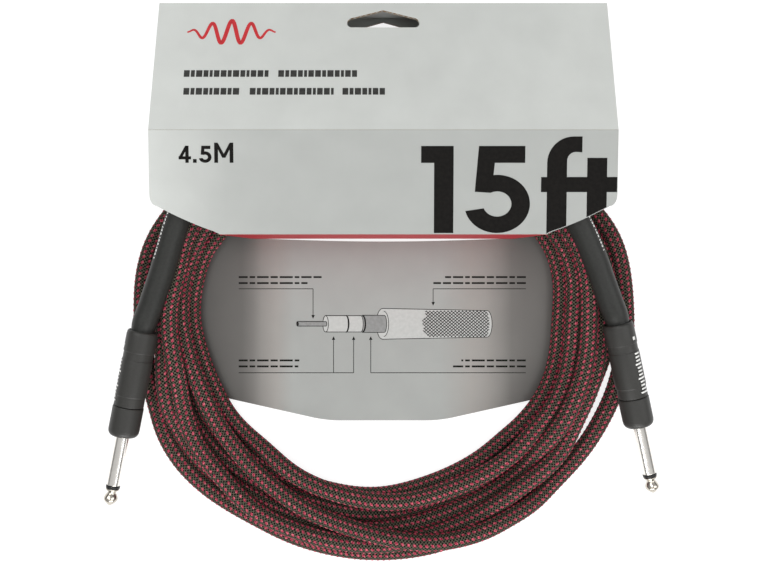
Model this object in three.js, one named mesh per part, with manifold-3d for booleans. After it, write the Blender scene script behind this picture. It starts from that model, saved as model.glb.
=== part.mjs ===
// An instrument cable wound into an oval coil and held in a folded card sleeve, in millimetres, +Z up.
// The pack lies on its card back: X runs across the card, Y from the plug tips to the hanging edge.
// The origin is the centre of the footprint, on the surface that the pack lies on.
import * as THREE from "three";
import { mergeVertices } from "three/addons/utils/BufferGeometryUtils.js";
import Module from "manifold-3d";

const wasm = await Module();
wasm.setup();

// ---- driving dimensions ----

const clearance = 0.3; // between neighbouring pieces

// Card sleeve: micro-flute board, folded round the coil.
const cardHalfWidth = 100;
const board = 1.2;
const creaseGap = 0.15; // from a crease to the edge of each board that meets there
// The creases' outer corners, as [y, z].
const backTopCrease = [126.5, 0];
const topFrontCrease = [126.5, 19.5];
const frontCrease = [66.6, 38];
const flapCrease = [22.3, 35];
const flapEnd = [22.1, 1.6];
const backLowerY = -62.9;
const backFlatHalfWidth = 26; // of the straight part of the back panel's lower edge
const backShoulder = [72, 10.2];
const backCornerRise = 17.3;
const frontChamferStart = 30.2; // along the lower front panel
const flapHalfWidth = 70.6;
const tabHalfWidth = 61;
const slitHalfWidth = 62.5;
const slitY = [21.2, 24];
const hangHoleHalfWidth = 16;
const hangHoleY = [114.5, 118.7, 122.9]; // lower edge, shoulders and peak, on the upper front panel
const backHoleLift = 0.6; // how much further up the hole through the back panel sits

// Cable: 4.5 m from tip to tip, with a braid over its jacket.
const cableRadius = 3.95;
const coilCentre = [0.1, -18.1];
const coilInner = { side: 80, top: 80.5, bottom: 73 }; // the oval's half-axes
const coilOuter = { side: 117.5, top: 95, bottom: 108.4 };
const coilBase = board + clearance;
const coilHeight = { loose: 12.6, bunched: 23 }; // below the sleeve, and where the sleeve gathers the turns
const bunchFrom = 0.35; // height above the centre, as a share of the half-axis, where the turns start to gather
const bunchOver = 0.6;

// Jack plug, measured along its axis from the barrel's rear face.
const shellRadius = 6.75;
const barrelLength = 33.85;
const noseStart = 34.15;
const noseEnd = 47.7;
const contactRadius = 3.175; // a 6.35 mm plug
const sleeveEnd = 69.9;
const tipEnd = 79.45;
const rodRadius = 1.15;
const spigotRadius = 5.1;
const spigotStart = 27.5;
const spigotEnd = 38;
const jacketEnd = 13;
const bootEnd = 9;
const bootRadius = 5;
const bootBore = 4.25;
const bootTail = 64; // how far the boot runs back from the barrel
const barrelTravel = 3; // how far the barrel backs off as it is unscrewed, with the liner inside it
const straightBehindPlug = 3.4;
const clampRadii = [4.2, 4.55];
const roundSides = 24;
const cordSides = 10;

// Each end of the cable: the centre of its barrel's rear face, how far the plug points outwards and down,
// and the route of the cable from the plug to the top of the coil.
const ends = [
  {
    suffix: "a",
    side: -1,
    shoulder: [-106.6, -19.8, 22],
    outwardDegrees: 11.3,
    downDegrees: 1.5,
    route: [
      [-103.2, -9.4, 22.3],
      [-101.2, -3.5, 22.7],
      [-98.2, 5, 23.4],
      [-94.6, 16, 24.6],
      [-90.6, 28, 26],
      [-83.8, 43, 27.6],
      [-73, 55.5, 29],
      [-57.5, 64, 29.8],
      [-38.5, 68, 30],
      [-18, 69, 30],
    ],
  },
  {
    suffix: "b",
    side: 1,
    shoulder: [103.9, -16.3, 22],
    outwardDegrees: 13.3,
    downDegrees: 5,
    route: [
      [100.3, -6.2, 22.9],
      [96.1, 5, 23.9],
      [91.6, 16, 25],
      [87.2, 25.5, 26],
      [79.2, 39, 27.6],
      [68, 51.3, 29],
      [52.5, 61, 29.8],
      [35, 66.8, 30],
      [17, 69, 30],
    ],
  },
];

// ---- materials ----

function finish(color, roughness, metalness) {
  return new THREE.MeshStandardMaterial({ color, roughness, metalness });
}

const greyBoard = finish(0xc8cac8, 0.6, 0);
const redBoard = finish(0xa02530, 0.6, 0);
const braid = finish(0x6b2a3a, 0.9, 0);
const blackShell = finish(0x3c3c3a, 0.55, 0.4);
const shrinkTube = finish(0x2c2d2b, 0.6, 0);
const nickel = finish(0xd8d4cc, 0.18, 1);
const brass = finish(0xb8964f, 0.35, 1);
const copper = finish(0xb87048, 0.4, 1);
const clearPlastic = finish(0xe6e8e4, 0.35, 0);
const blackPlastic = finish(0x1c1c1c, 0.4, 0);

// ---- geometry helpers ----

function addMesh(parent, name, geometry, material) {
  const mesh = new THREE.Mesh(geometry, material);
  mesh.name = name;
  parent.add(mesh);
  return mesh;
}

// A solid turned about the local Z axis, from [radius, z] pairs.
function turned(profile, sides = roundSides) {
  const points = profile.map(([radius, z]) => new THREE.Vector2(radius, z));
  return new THREE.LatheGeometry(points, sides).rotateX(Math.PI / 2);
}

// A turned ring or tube whose section is a rectangle.
function collar(inner, outer, start, end) {
  const section = [[inner, start], [outer, start], [outer, end], [inner, end], [inner, start]];
  return turned(section);
}

function polygon(radius, sides) {
  return Array.from({ length: sides }, (_, i) => {
    const angle = (2 * Math.PI * i) / sides;
    return new THREE.Vector2(radius * Math.cos(angle), radius * Math.sin(angle));
  });
}

// A rod, or with a bore a tube, that follows a curve.
function cordGeometry(curve, radius, steps, bore = 0) {
  const shape = new THREE.Shape(polygon(radius, cordSides));
  if (bore) shape.holes.push(new THREE.Path(polygon(bore, cordSides)));
  return new THREE.ExtrudeGeometry(shape, { steps, extrudePath: curve });
}

function smoothCurve(points) {
  return new THREE.CatmullRomCurve3(points, false, "centripetal");
}

// The stretch of a curve between two distances along it.
function stretchOf(curve, from, to, pieces) {
  const length = curve.getLength();
  const points = [];
  for (let i = 0; i <= pieces; i += 1) {
    points.push(curve.getPointAt((from + ((to - from) * i) / pieces) / length));
  }
  return smoothCurve(points);
}

function toSolid(geometry) {
  const bare = new THREE.BufferGeometry();
  bare.setAttribute("position", geometry.getAttribute("position"));
  const merged = mergeVertices(bare, 1e-4);
  return new wasm.Manifold(
    new wasm.Mesh({
      numProp: 3,
      vertProperties: merged.getAttribute("position").array,
      triVerts: new Uint32Array(merged.index.array),
    }),
  );
}

function join(first, second) {
  const mesh = toSolid(first).add(toSolid(second)).getMesh();
  const geometry = new THREE.BufferGeometry();
  geometry.setAttribute("position", new THREE.BufferAttribute(mesh.vertProperties, 3));
  geometry.setIndex(new THREE.BufferAttribute(mesh.triVerts, 1));
  return geometry;
}

// ---- card sleeve ----

// How far a board's inner face stops short of a crease, so that two boards meet there in a mitre.
function mitreAt(before, crease, after) {
  const back = new THREE.Vector2(before[0] - crease[0], before[1] - crease[1]);
  const on = new THREE.Vector2(after[0] - crease[0], after[1] - crease[1]);
  const between = Math.acos(back.dot(on) / (back.length() * on.length()));
  return board / Math.tan(between / 2);
}

// A board from one crease to the next: its outline lies in x and in the distance from the first crease,
// its outer face at zero depth. The inner face is shortened by the two mitres.
function panel(name, shape, from, to, mitres, material) {
  const length = Math.hypot(to[0] - from[0], to[1] - from[1]);
  const geometry = new THREE.ExtrudeGeometry(shape, {
    depth: board,
    bevelEnabled: false,
    curveSegments: 6,
  });
  const place = geometry.getAttribute("position");
  for (let i = 0; i < place.count; i += 1) {
    if (place.getZ(i) < board / 2) continue;
    const y = place.getY(i);
    place.setY(i, y + mitres[0] * (1 - y / length) - mitres[1] * (y / length));
  }
  geometry.computeVertexNormals();
  const mesh = new THREE.Mesh(geometry, material);
  mesh.name = name;
  mesh.position.set(0, from[0], from[1]);
  mesh.rotation.x = Math.atan2(to[1] - from[1], to[0] - from[0]);
  return mesh;
}

function rectangle(halfWidth, start, end) {
  return new THREE.Shape([
    new THREE.Vector2(-halfWidth, start),
    new THREE.Vector2(halfWidth, start),
    new THREE.Vector2(halfWidth, end),
    new THREE.Vector2(-halfWidth, end),
  ]);
}

// The hang hole: a flat lower edge, rounded ends and a low peak. The rises are measured from its lower edge,
// and direction is +1 where the peak lies further along the board, -1 where it lies nearer the crease.
function hangHole(lower, shoulderRise, peakRise, direction) {
  const end = hangHoleHalfWidth;
  const hole = new THREE.Path();
  hole.moveTo(-end + 2, lower);
  hole.lineTo(end - 2, lower);
  hole.quadraticCurveTo(end, lower, end, lower + direction * 2);
  hole.quadraticCurveTo(end, lower + direction * shoulderRise, end - 3, lower + direction * (shoulderRise + 0.6));
  hole.lineTo(0, lower + direction * peakRise);
  hole.lineTo(-end + 3, lower + direction * (shoulderRise + 0.6));
  hole.quadraticCurveTo(-end, lower + direction * shoulderRise, -end, lower + direction * 2);
  hole.quadraticCurveTo(-end, lower, -end + 2, lower);
  return hole;
}

function backPanel() {
  const start = [backLowerY, 0];
  const top = backTopCrease[0] - backLowerY - creaseGap;
  const shape = new THREE.Shape();
  shape.moveTo(cardHalfWidth, top);
  shape.lineTo(-cardHalfWidth, top);
  shape.lineTo(-cardHalfWidth, backCornerRise + 4);
  shape.quadraticCurveTo(-cardHalfWidth, backCornerRise, -cardHalfWidth + 4, backCornerRise - 1);
  shape.lineTo(-backShoulder[0], backShoulder[1]);
  shape.lineTo(-backFlatHalfWidth - 5, 1);
  shape.quadraticCurveTo(-backFlatHalfWidth, 0, -backFlatHalfWidth + 4, 0);
  shape.lineTo(backFlatHalfWidth - 4, 0);
  shape.quadraticCurveTo(backFlatHalfWidth, 0, backFlatHalfWidth + 5, 1);
  shape.lineTo(backShoulder[0], backShoulder[1]);
  shape.lineTo(cardHalfWidth - 4, backCornerRise - 1);
  shape.quadraticCurveTo(cardHalfWidth, backCornerRise, cardHalfWidth, backCornerRise + 4);
  shape.closePath();
  const slit = rectangle(slitHalfWidth, slitY[0] - backLowerY, slitY[1] - backLowerY);
  shape.holes.push(new THREE.Path(slit.getPoints()));
  const [lower, shoulder, peak] = hangHoleY;
  const holeStart = lower + backHoleLift - backLowerY;
  shape.holes.push(hangHole(holeStart, shoulder - lower, peak - lower, 1));
  const mitres = [0, mitreAt(start, backTopCrease, topFrontCrease)];
  return panel("card_back_panel", shape, start, backTopCrease, mitres, greyBoard);
}

function topPanel() {
  const height = topFrontCrease[1] - backTopCrease[1];
  const shape = rectangle(cardHalfWidth, creaseGap, height - creaseGap);
  const mitres = [
    mitreAt([backLowerY, 0], backTopCrease, topFrontCrease),
    mitreAt(backTopCrease, topFrontCrease, frontCrease),
  ];
  return panel("card_top_panel", shape, backTopCrease, topFrontCrease, mitres, greyBoard);
}

function upperFront() {
  const run = topFrontCrease[0] - frontCrease[0];
  const length = Math.hypot(run, frontCrease[1] - topFrontCrease[1]);
  const slope = length / run;
  const shape = rectangle(cardHalfWidth, creaseGap, length - creaseGap);
  const [lower, shoulder, peak] = hangHoleY;
  const holeStart = (topFrontCrease[0] - lower) * slope;
  shape.holes.push(hangHole(holeStart, (shoulder - lower) * slope, (peak - lower) * slope, -1));
  const mitres = [
    mitreAt(backTopCrease, topFrontCrease, frontCrease),
    mitreAt(topFrontCrease, frontCrease, flapCrease),
  ];
  return panel("card_front_upper", shape, topFrontCrease, frontCrease, mitres, greyBoard);
}

function lowerFront() {
  const length = Math.hypot(flapCrease[0] - frontCrease[0], flapCrease[1] - frontCrease[1]);
  const edge = length - creaseGap;
  const shape = new THREE.Shape();
  shape.moveTo(-cardHalfWidth, creaseGap);
  shape.lineTo(cardHalfWidth, creaseGap);
  shape.lineTo(cardHalfWidth, frontChamferStart - 3);
  shape.quadraticCurveTo(cardHalfWidth, frontChamferStart, cardHalfWidth - 3, frontChamferStart + 2);
  shape.quadraticCurveTo(flapHalfWidth + 12, edge - 4, flapHalfWidth, edge - 0.6);
  shape.lineTo(flapHalfWidth, edge);
  shape.lineTo(-flapHalfWidth, edge);
  shape.lineTo(-flapHalfWidth, edge - 0.6);
  shape.quadraticCurveTo(-flapHalfWidth - 12, edge - 4, -cardHalfWidth + 3, frontChamferStart + 2);
  shape.quadraticCurveTo(-cardHalfWidth, frontChamferStart, -cardHalfWidth, frontChamferStart - 3);
  shape.closePath();
  const mitres = [
    mitreAt(topFrontCrease, frontCrease, flapCrease),
    mitreAt(frontCrease, flapCrease, flapEnd),
  ];
  return panel("card_front_lower", shape, frontCrease, flapCrease, mitres, greyBoard);
}

function tuckFlap() {
  const length = Math.hypot(flapEnd[0] - flapCrease[0], flapEnd[1] - flapCrease[1]);
  const shape = new THREE.Shape([
    new THREE.Vector2(-flapHalfWidth, creaseGap),
    new THREE.Vector2(flapHalfWidth, creaseGap),
    new THREE.Vector2(tabHalfWidth, length),
    new THREE.Vector2(-tabHalfWidth, length),
  ]);
  const mitres = [mitreAt(frontCrease, flapCrease, flapEnd), 0];
  return panel("card_tuck_flap", shape, flapCrease, flapEnd, mitres, redBoard);
}

// ---- coil ----

// How far the turns are gathered at a place on the oval, from 0 at the sides and below to 1 at the top.
function gathered(up) {
  const t = THREE.MathUtils.clamp((up - bunchFrom) / bunchOver, 0, 1);
  return t * t * (3 - 2 * t);
}

// The outer shape of the wound turns: a ring turned as a circle, then drawn out into the oval.
// The section runs from the inner edge (0) to the outer edge (1), and from the base (0) to the full height (1);
// it is low along its outer edge, where a single turn lies beside the others.
function coilGeometry() {
  const section = [
    [0, 0.15], [0.06, 0], [0.94, 0], [1, 0.14], [1, 0.42], [0.94, 0.6], [0.85, 0.66],
    [0.74, 0.94], [0.66, 1], [0.1, 1], [0.02, 0.86], [0, 0.7], [0, 0.15],
  ];
  const unitRing = section.map(([across, up]) => new THREE.Vector2(1 + across, up));
  const geometry = new THREE.LatheGeometry(unitRing, 64).rotateX(Math.PI / 2);
  const place = geometry.getAttribute("position");
  for (let i = 0; i < place.count; i += 1) {
    const radius = Math.hypot(place.getX(i), place.getY(i));
    const across = radius - 1;
    const x = place.getX(i) / radius;
    const y = place.getY(i) / radius;
    const half = y > 0 ? "top" : "bottom";
    const sideAxis = THREE.MathUtils.lerp(coilInner.side, coilOuter.side, across);
    const otherAxis = THREE.MathUtils.lerp(coilInner[half], coilOuter[half], across);
    const height = THREE.MathUtils.lerp(coilHeight.loose, coilHeight.bunched, gathered(y));
    place.setXYZ(
      i,
      coilCentre[0] + sideAxis * x,
      coilCentre[1] + otherAxis * y,
      coilBase + height * place.getZ(i),
    );
  }
  geometry.computeVertexNormals();
  return geometry;
}

// ---- plug ----

function barrelGeometry() {
  return turned([
    [5.35, 0], [5.9, 0], [shellRadius, 1.9], [shellRadius, 9.4], [6.5, 9.7], [6.5, 12.9],
    [6.7, 13.2], [6.7, 29.1], [6.45, 29.4], [6.45, barrelLength], [5.45, barrelLength],
    [5.45, bootEnd], [5.35, bootEnd], [5.35, 0],
  ]);
}

// The fixed front of the casing, with the flat face that meets the jack.
function noseGeometry() {
  return turned([
    [spigotRadius + clearance, noseStart], [6.55, noseStart], [shellRadius, noseStart + 0.5],
    [shellRadius, 44.9], [6.6, 45.9], [6.1, 46.8], [5.3, 47.4], [4.6, noseEnd],
    [contactRadius + clearance, noseEnd], [contactRadius + clearance, spigotEnd + clearance],
    [spigotRadius + clearance, spigotEnd + clearance], [spigotRadius + clearance, noseStart],
  ]);
}

// The sleeve contact and the threaded spigot behind it, in one turned piece with a bore.
function sleeveContactGeometry() {
  const bore = 2.1;
  return turned([
    [bore, spigotStart], [spigotRadius, spigotStart], [spigotRadius, spigotEnd],
    [contactRadius, spigotEnd], [contactRadius, sleeveEnd], [bore, sleeveEnd], [bore, spigotStart],
  ]);
}

// The tip contact: a rod through the whole plug with a collar, a neck and a ball that ends in a cone.
function tipContactGeometry() {
  const collarStart = sleeveEnd + 1.7;
  return turned([
    [0, 26], [rodRadius, 26], [rodRadius, collarStart], [2.9, collarStart], [2.7, collarStart + 0.8],
    [1.95, collarStart + 1.6], [2.05, collarStart + 2.3], [2.75, collarStart + 3.4],
    [3.05, collarStart + 4.5], [2.75, collarStart + 5.6], [1.5, collarStart + 7.2], [0.7, tipEnd], [0, tipEnd],
  ]);
}

// The plate that the rod is riveted to, with a bent tail for the core's solder joint.
function tipLugGeometry() {
  const sideView = new THREE.Shape([
    new THREE.Vector2(-2.2, 25.1),
    new THREE.Vector2(1, 25.1),
    new THREE.Vector2(1, 21.5),
    new THREE.Vector2(1.6, 21.5),
    new THREE.Vector2(1.6, 25.1),
    new THREE.Vector2(2.2, 25.1),
    new THREE.Vector2(2.2, 25.7),
    new THREE.Vector2(-2.2, 25.7),
  ]);
  const width = 2.6;
  return new THREE.ExtrudeGeometry(sideView, { depth: width, bevelEnabled: false })
    .translate(0, 0, -width / 2)
    .applyMatrix4(new THREE.Matrix4().makeBasis(
      new THREE.Vector3(0, 1, 0),
      new THREE.Vector3(0, 0, 1),
      new THREE.Vector3(1, 0, 0),
    ));
}

// A strip bent round the plug's axis: an arc of sheet metal centred on the underside.
function bentStrip(arc, start, end) {
  const middle = -Math.PI / 2;
  const shape = new THREE.Shape();
  shape.absarc(0, 0, clampRadii[1], middle - arc / 2, middle + arc / 2, false);
  shape.absarc(0, 0, clampRadii[0], middle + arc / 2, middle - arc / 2, true);
  shape.closePath();
  const strip = new THREE.ExtrudeGeometry(shape, {
    depth: end - start,
    bevelEnabled: false,
    curveSegments: 10,
  });
  return strip.translate(0, 0, start);
}

// The sleeve's lug runs back along the cable and ends in a clamp that is squeezed round the jacket.
function groundLugGeometry() {
  const clamp = bentStrip(THREE.MathUtils.degToRad(270), bootEnd + 0.6, bootEnd + 3.6);
  const strip = bentStrip(THREE.MathUtils.degToRad(50), bootEnd + 3, spigotStart - clearance);
  return join(clamp, strip);
}

function pigtailGeometry() {
  const curve = smoothCurve([
    new THREE.Vector3(0, -2.4, jacketEnd + clearance),
    new THREE.Vector3(0, -2.9, jacketEnd + 2),
    new THREE.Vector3(0, -3.2, jacketEnd + 5),
  ]);
  return cordGeometry(curve, 0.6, 5);
}

function plug(end) {
  const group = new THREE.Group();
  const outward = THREE.MathUtils.degToRad(end.outwardDegrees);
  const down = THREE.MathUtils.degToRad(end.downDegrees);
  const direction = new THREE.Vector3(
    end.side * Math.sin(outward) * Math.cos(down),
    -Math.cos(outward) * Math.cos(down),
    -Math.sin(down),
  );
  group.up.set(0, 0, 1);
  group.position.fromArray(end.shoulder);
  group.lookAt(group.position.clone().add(direction));

  const rodBore = rodRadius + clearance;
  const pieces = {
    barrel: [barrelGeometry(), blackShell],
    nose_shell: [noseGeometry(), blackShell],
    barrel_liner: [collar(4.8, 5.15, bootEnd + barrelTravel + clearance, spigotStart - clearance), clearPlastic],
    sleeve_contact: [sleeveContactGeometry(), nickel],
    tip_contact: [tipContactGeometry(), nickel],
    tip_insulator: [collar(rodBore, 3.1, sleeveEnd + clearance, sleeveEnd + 1.4), blackPlastic],
    rod_insulator: [collar(rodBore, 1.8, spigotStart + clearance, sleeveEnd), clearPlastic],
    rear_washer: [collar(rodBore, 3.9, 26.1, spigotStart - clearance), blackPlastic],
    tip_solder_lug: [tipLugGeometry(), brass],
    ground_lug: [groundLugGeometry(), brass],
    shield_pigtail: [pigtailGeometry(), copper],
    core_insulation: [turned([[0, 13.3], [1.3, 13.3], [1.3, 21], [0, 21]], cordSides), clearPlastic],
    core_conductor: [turned([[0, 21.3], [0.45, 21.3], [0.45, 24.8], [0, 24.8]], cordSides), copper],
  };
  for (const [piece, [geometry, material]] of Object.entries(pieces)) {
    addMesh(group, piece + "_" + end.suffix, geometry, material);
  }
  return group;
}

// ---- cable leads ----

// The cable from inside a plug to the top of the coil, and the heat-shrink boot over its first stretch.
function lead(end, plugGroup) {
  const group = new THREE.Group();
  plugGroup.updateMatrixWorld(true);
  const onAxis = [jacketEnd, jacketEnd / 2, 0, -straightBehindPlug / 2, -straightBehindPlug];
  const points = onAxis.map((z) => plugGroup.localToWorld(new THREE.Vector3(0, 0, z)));
  const curve = smoothCurve([...points, ...end.route.map((p) => new THREE.Vector3(...p))]);
  addMesh(group, "cable_lead_" + end.suffix, cordGeometry(curve, cableRadius, 28), braid);
  const inside = jacketEnd - bootEnd;
  const underBoot = stretchOf(curve, inside, inside + bootEnd + bootTail, 14);
  addMesh(group, "heat_shrink_boot_" + end.suffix, cordGeometry(underBoot, bootRadius, 14, bootBore), shrinkTube);
  return group;
}

// ---- assembly ----

const pack = new THREE.Group();
pack.add(backPanel(), topPanel(), upperFront(), lowerFront(), tuckFlap());
addMesh(pack, "cable_coil", coilGeometry(), braid);
for (const end of ends) {
  const plugGroup = plug(end);
  pack.add(plugGroup, lead(end, plugGroup));
}

export default pack;
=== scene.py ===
"""An instrument cable wound into an oval coil and held in a folded card sleeve.

Every size and place is in millimetres, in the part's own frame, and becomes metres where a mesh is made. The
camera, the lights and the grain of the materials are in metres from the start."""
import itertools
import math
from contextlib import contextmanager

import bmesh
import bpy
import numpy as np
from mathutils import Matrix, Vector
from mathutils.geometry import tessellate_polygon


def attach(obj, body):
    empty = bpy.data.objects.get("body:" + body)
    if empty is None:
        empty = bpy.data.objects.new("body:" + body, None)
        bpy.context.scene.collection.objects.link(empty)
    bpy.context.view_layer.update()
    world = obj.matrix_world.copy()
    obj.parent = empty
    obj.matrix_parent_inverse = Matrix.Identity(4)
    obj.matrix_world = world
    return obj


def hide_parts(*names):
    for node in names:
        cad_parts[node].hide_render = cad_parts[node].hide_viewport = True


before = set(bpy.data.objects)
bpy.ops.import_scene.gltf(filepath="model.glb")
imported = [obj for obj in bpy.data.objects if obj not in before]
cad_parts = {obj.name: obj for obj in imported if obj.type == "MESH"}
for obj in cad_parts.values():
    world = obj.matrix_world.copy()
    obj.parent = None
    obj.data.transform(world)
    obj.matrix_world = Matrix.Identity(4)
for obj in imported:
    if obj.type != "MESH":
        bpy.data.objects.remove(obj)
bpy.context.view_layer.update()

MM = 0.001

# ---- driving dimensions ----

CORD_RADIUS = 3.95
COIL_CENTRE = (0.1, -18.1)
COIL_SIDE = 117.5  # half-axes of the coil's outer outline
COIL_TOP = 95
COIL_BOTTOM = 108.4
LAYER = 7.5  # from one layer of turns to the next

CARD_HALF_WIDTH = 100
BOARD = 1.2
LINER = 0.22  # the paper on each face of the board
FLUTE_PITCH = 2.4
MITRE_REACH = 2  # how near a crease the inner paper is drawn back for its mitre
# The creases' outer corners, as (y, z).
BACK_TOP_CREASE = (126.5, 0)
TOP_FRONT_CREASE = (126.5, 19.5)
FRONT_CREASE = (66.6, 38)
FLAP_CREASE = (22.3, 35)
FLAP_END = (22.1, 1.6)
BACK_LOWER_Y = -62.9
BACK_FLAT_HALF_WIDTH = 26
BACK_SHOULDER = (72, 10.2)
BACK_CORNER_RISE = 17.3
FRONT_CHAMFER_START = 30.2
FLAP_HALF_WIDTH = 70.6
TAB_HALF_WIDTH = 61
SLIT_HALF_WIDTH = 62.5
SLIT_Y = (21.2, 24)
HANG_HOLE_HALF_WIDTH = 16
HANG_HOLE_Y = (114.5, 118.7, 122.9)
BACK_HOLE_LIFT = 0.6  # how much further up the hole through the back panel sits

SHELL_RADIUS = 6.75
BARREL_LENGTH = 33.85
MOUTH_BORE = 5.78  # the barrel's rear mouth, which backs off over the boot
MOUTH_DEPTH = 3.8
NOSE_START = 34.15
NOSE_END = 47.7
CONTACT_RADIUS = 3.175
SLEEVE_END = 69.9
TIP_END = 79.45
SPIGOT_RADIUS = 5.1
SPIGOT_START = 27.5
SPIGOT_END = 38
THREAD_PITCH = 0.75
JACKET_END = 13
BOOT_END = 9
BOOT_RADIUS = 5.15  # inside the barrel
BOOT_SWELL = 0.35  # what the boot gains outside it
BOOT_BORE = 4.25
BOOT_TAIL = 64
STRAIGHT_BEHIND_PLUG = 3.4

# Each end of the cable, as in the frame: the centre of its barrel's rear face, how far the plug points
# outwards and down, how far above its outer side its printed marks are, and the route from the plug to the
# top of the coil.
ENDS = {
    "a": {
        "side": -1,
        "shoulder": (-106.6, -19.8, 22),
        "outward": 11.3,
        "mark_angle": 22,
        "down": 1.5,
        "route": (
            (-103.2, -9.4, 22.3), (-101.2, -3.5, 22.7), (-98.2, 5, 23.4), (-94.6, 16, 24.6), (-90.6, 28, 26),
            (-83.8, 43, 27.6), (-73, 55.5, 29), (-57.5, 64, 29.8), (-38.5, 68, 30), (-18, 69, 30),
        ),
    },
    "b": {
        "side": 1,
        "shoulder": (103.9, -16.3, 22),
        "outward": 13.3,
        "mark_angle": 50,
        "down": 5,
        "route": (
            (100.3, -6.2, 22.9), (96.1, 5, 23.9), (91.6, 16, 25), (87.2, 25.5, 26), (79.2, 39, 27.6),
            (68, 51.3, 29), (52.5, 61, 29.8), (35, 66.8, 30), (17, 69, 30),
        ),
    },
}

# Seen from the front, each turn runs clockwise: over the top, down the right, across and up the left.
# CLOCK gives angles from the top. TURNS gives, for each turn in the order that it is wound, how far inside
# the coil's outer outline it runs at those angles, and which layer it lies in.
CLOCK = (62, 90, 105, 120, 135, 150, 165, 180, 195, 210, 225, 238, 270, 298)
LOWEST = (0,) * len(CLOCK)
TURNS = (
    ((22.8, 30.8, 30, 29.5, 29.3, 29.1, 28.5, 28.2, 29.8, 31, 32, 31.6, 29, 21.6),
     (1, 1, 1, 1, 1, 1, 1, 1, 1, 0.9, 0.3, 0, 0, 0)),
    ((26.6, 35.6, 35.2, 34.6, 34.7, 34.4, 32.4, 29.2, 28.5, 27.6, 24.5, 23.9, 21.3, 15.6),
     (0, 0, 0, 0, 0, 0, 0, 0, 0, 0, 0, 0, 0.1, 0.3)),
    ((18.8, 27.8, 27.4, 26.8, 26.7, 26.5, 24.5, 21.3, 20.7, 19.7, 17, 16, 13.6, 9.6), LOWEST),
    ((8, 13.5, 16.6, 16.9, 15.2, 9.6, 5.2, 3.6, 3.6, 4, 3.5, 2.8, 5.6, 2.2), LOWEST),
    ((0, 5, 5.4, 5.6, 6, 6.8, 8.2, 13, 17.3, 21.5, 25.5, 27.3, 25.7, 18),
     (0, 0, 0, 0, 0.4, 1.3, 1.9, 1.9, 1.3, 1, 1, 1, 1, 1)),
    ((19.5, 25.8, 24.3, 23, 21, 18.9, 16.7, 13.4, 12.7, 12.1, 9.8, 9.6, 17.7, 12),
     (1.6, 1.7, 1.7, 1.6, 0.8, 0, 0, 0, 0, 0, 0, 0, 1, 1)),
    ((12, 18.5, 18.6, 18.4, 16.6, 13.6, 10.9, 8.6, 7.4, 8.4, 12.3, 15, 21.5, 15.5),
     (1.2, 1, 1, 1, 0.9, 0.8, 0.9, 1, 1, 1, 1, 1, 2, 2)),
)
# The same inside the sleeve, at CLOCK_IN_SLEEVE, for what joins each turn to the next, all in one layer.
CLOCK_IN_SLEEVE = (330, 0, 30)
JOINS = (
    ((14.5, 14, 17), 0), ((13.5, 14, 15), 1), ((5.5, 6, 7), 1), ((4.5, 6, 6), 0), ((13.5, 14, 14.5), 2),
    ((6.5, 6, 7), 2),
)
# Between the leads and the turns: from the end of lead a to the first turn, and from the last turn to lead b.
AFTER_LEAD_A = ((0, 66, 29), (18, 63.5, 25), (38, 58, 20))
BEFORE_LEAD_B = ((-57, 60, 21), (-38, 69, 21.5), (-18, 74, 24), (0, 73.3, 29))
ROUTE_SPACING = 4

# How the turns settle.
PRESSED_IN = 0.1  # how far two turns may press into each other
CARD_CLEARANCE = 0.1  # between the cable and the card
SETTLING_STEPS = 260
STEPS_PER_SEARCH = 10  # for turns that come near each other
SEARCH_MARGIN = 6
POINTS_OF_ONE_BEND = 8  # nearer along the cable than this, two points aren't of different turns
STIFFNESS = 0.06  # the share of each point's bending that a step takes out
SINKING = 0.06  # how far the first step lets the cable sink, and the later ones ever less
PULL_TO_PLAN = (0.07, 0.07, 0.01)  # the share of the way back to its drawn place that the first step pulls it
LEAST_PULL = 0.2  # the share of that pull that stays to the end


# ---- geometry helpers ----


def unit(vector):
    vector = np.asarray(vector, float)
    return vector / np.linalg.norm(vector, axis=-1, keepdims=True)


def add_piece(name, body, slot, vertices, faces, materials, face_materials=None, uv=None, smooth=True):
    """A mesh from points in millimetres. uv holds one pair for each corner of each face, in order."""
    mesh = bpy.data.meshes.new(name)
    mesh.from_pydata((np.asarray(vertices, float) * MM).tolist(), [], [list(map(int, f)) for f in faces])
    for material in materials:
        mesh.materials.append(material)
    if face_materials is not None:
        mesh.polygons.foreach_set("material_index", np.asarray(face_materials, np.int32))
    if uv is not None:
        layer = mesh.uv_layers.new(name="UVMap")
        layer.data.foreach_set("uv", np.asarray(uv, np.float32).ravel())
    mesh.polygons.foreach_set("use_smooth", [smooth] * len(mesh.polygons))
    mesh.validate()
    mesh.update()
    piece = bpy.data.objects.new(name, mesh)
    bpy.context.scene.collection.objects.link(piece)
    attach(piece, body)
    return piece


@contextmanager
def edited(piece):
    """The piece's mesh, opened for a change."""
    mesh = bmesh.new()
    mesh.from_mesh(piece.data)
    yield mesh
    mesh.to_mesh(piece.data)
    mesh.free()


def auto_smooth(piece, degrees=35):
    """Smooth shading with crisp edges where two faces meet at more than that angle."""
    limit = math.radians(degrees)
    with edited(piece) as mesh:
        for edge in mesh.edges:
            if len(edge.link_faces) == 2:
                edge.smooth = edge.calc_face_angle(0) < limit


def turn_outwards(piece):
    with edited(piece) as mesh:
        bmesh.ops.recalc_face_normals(mesh, faces=mesh.faces)


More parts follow.
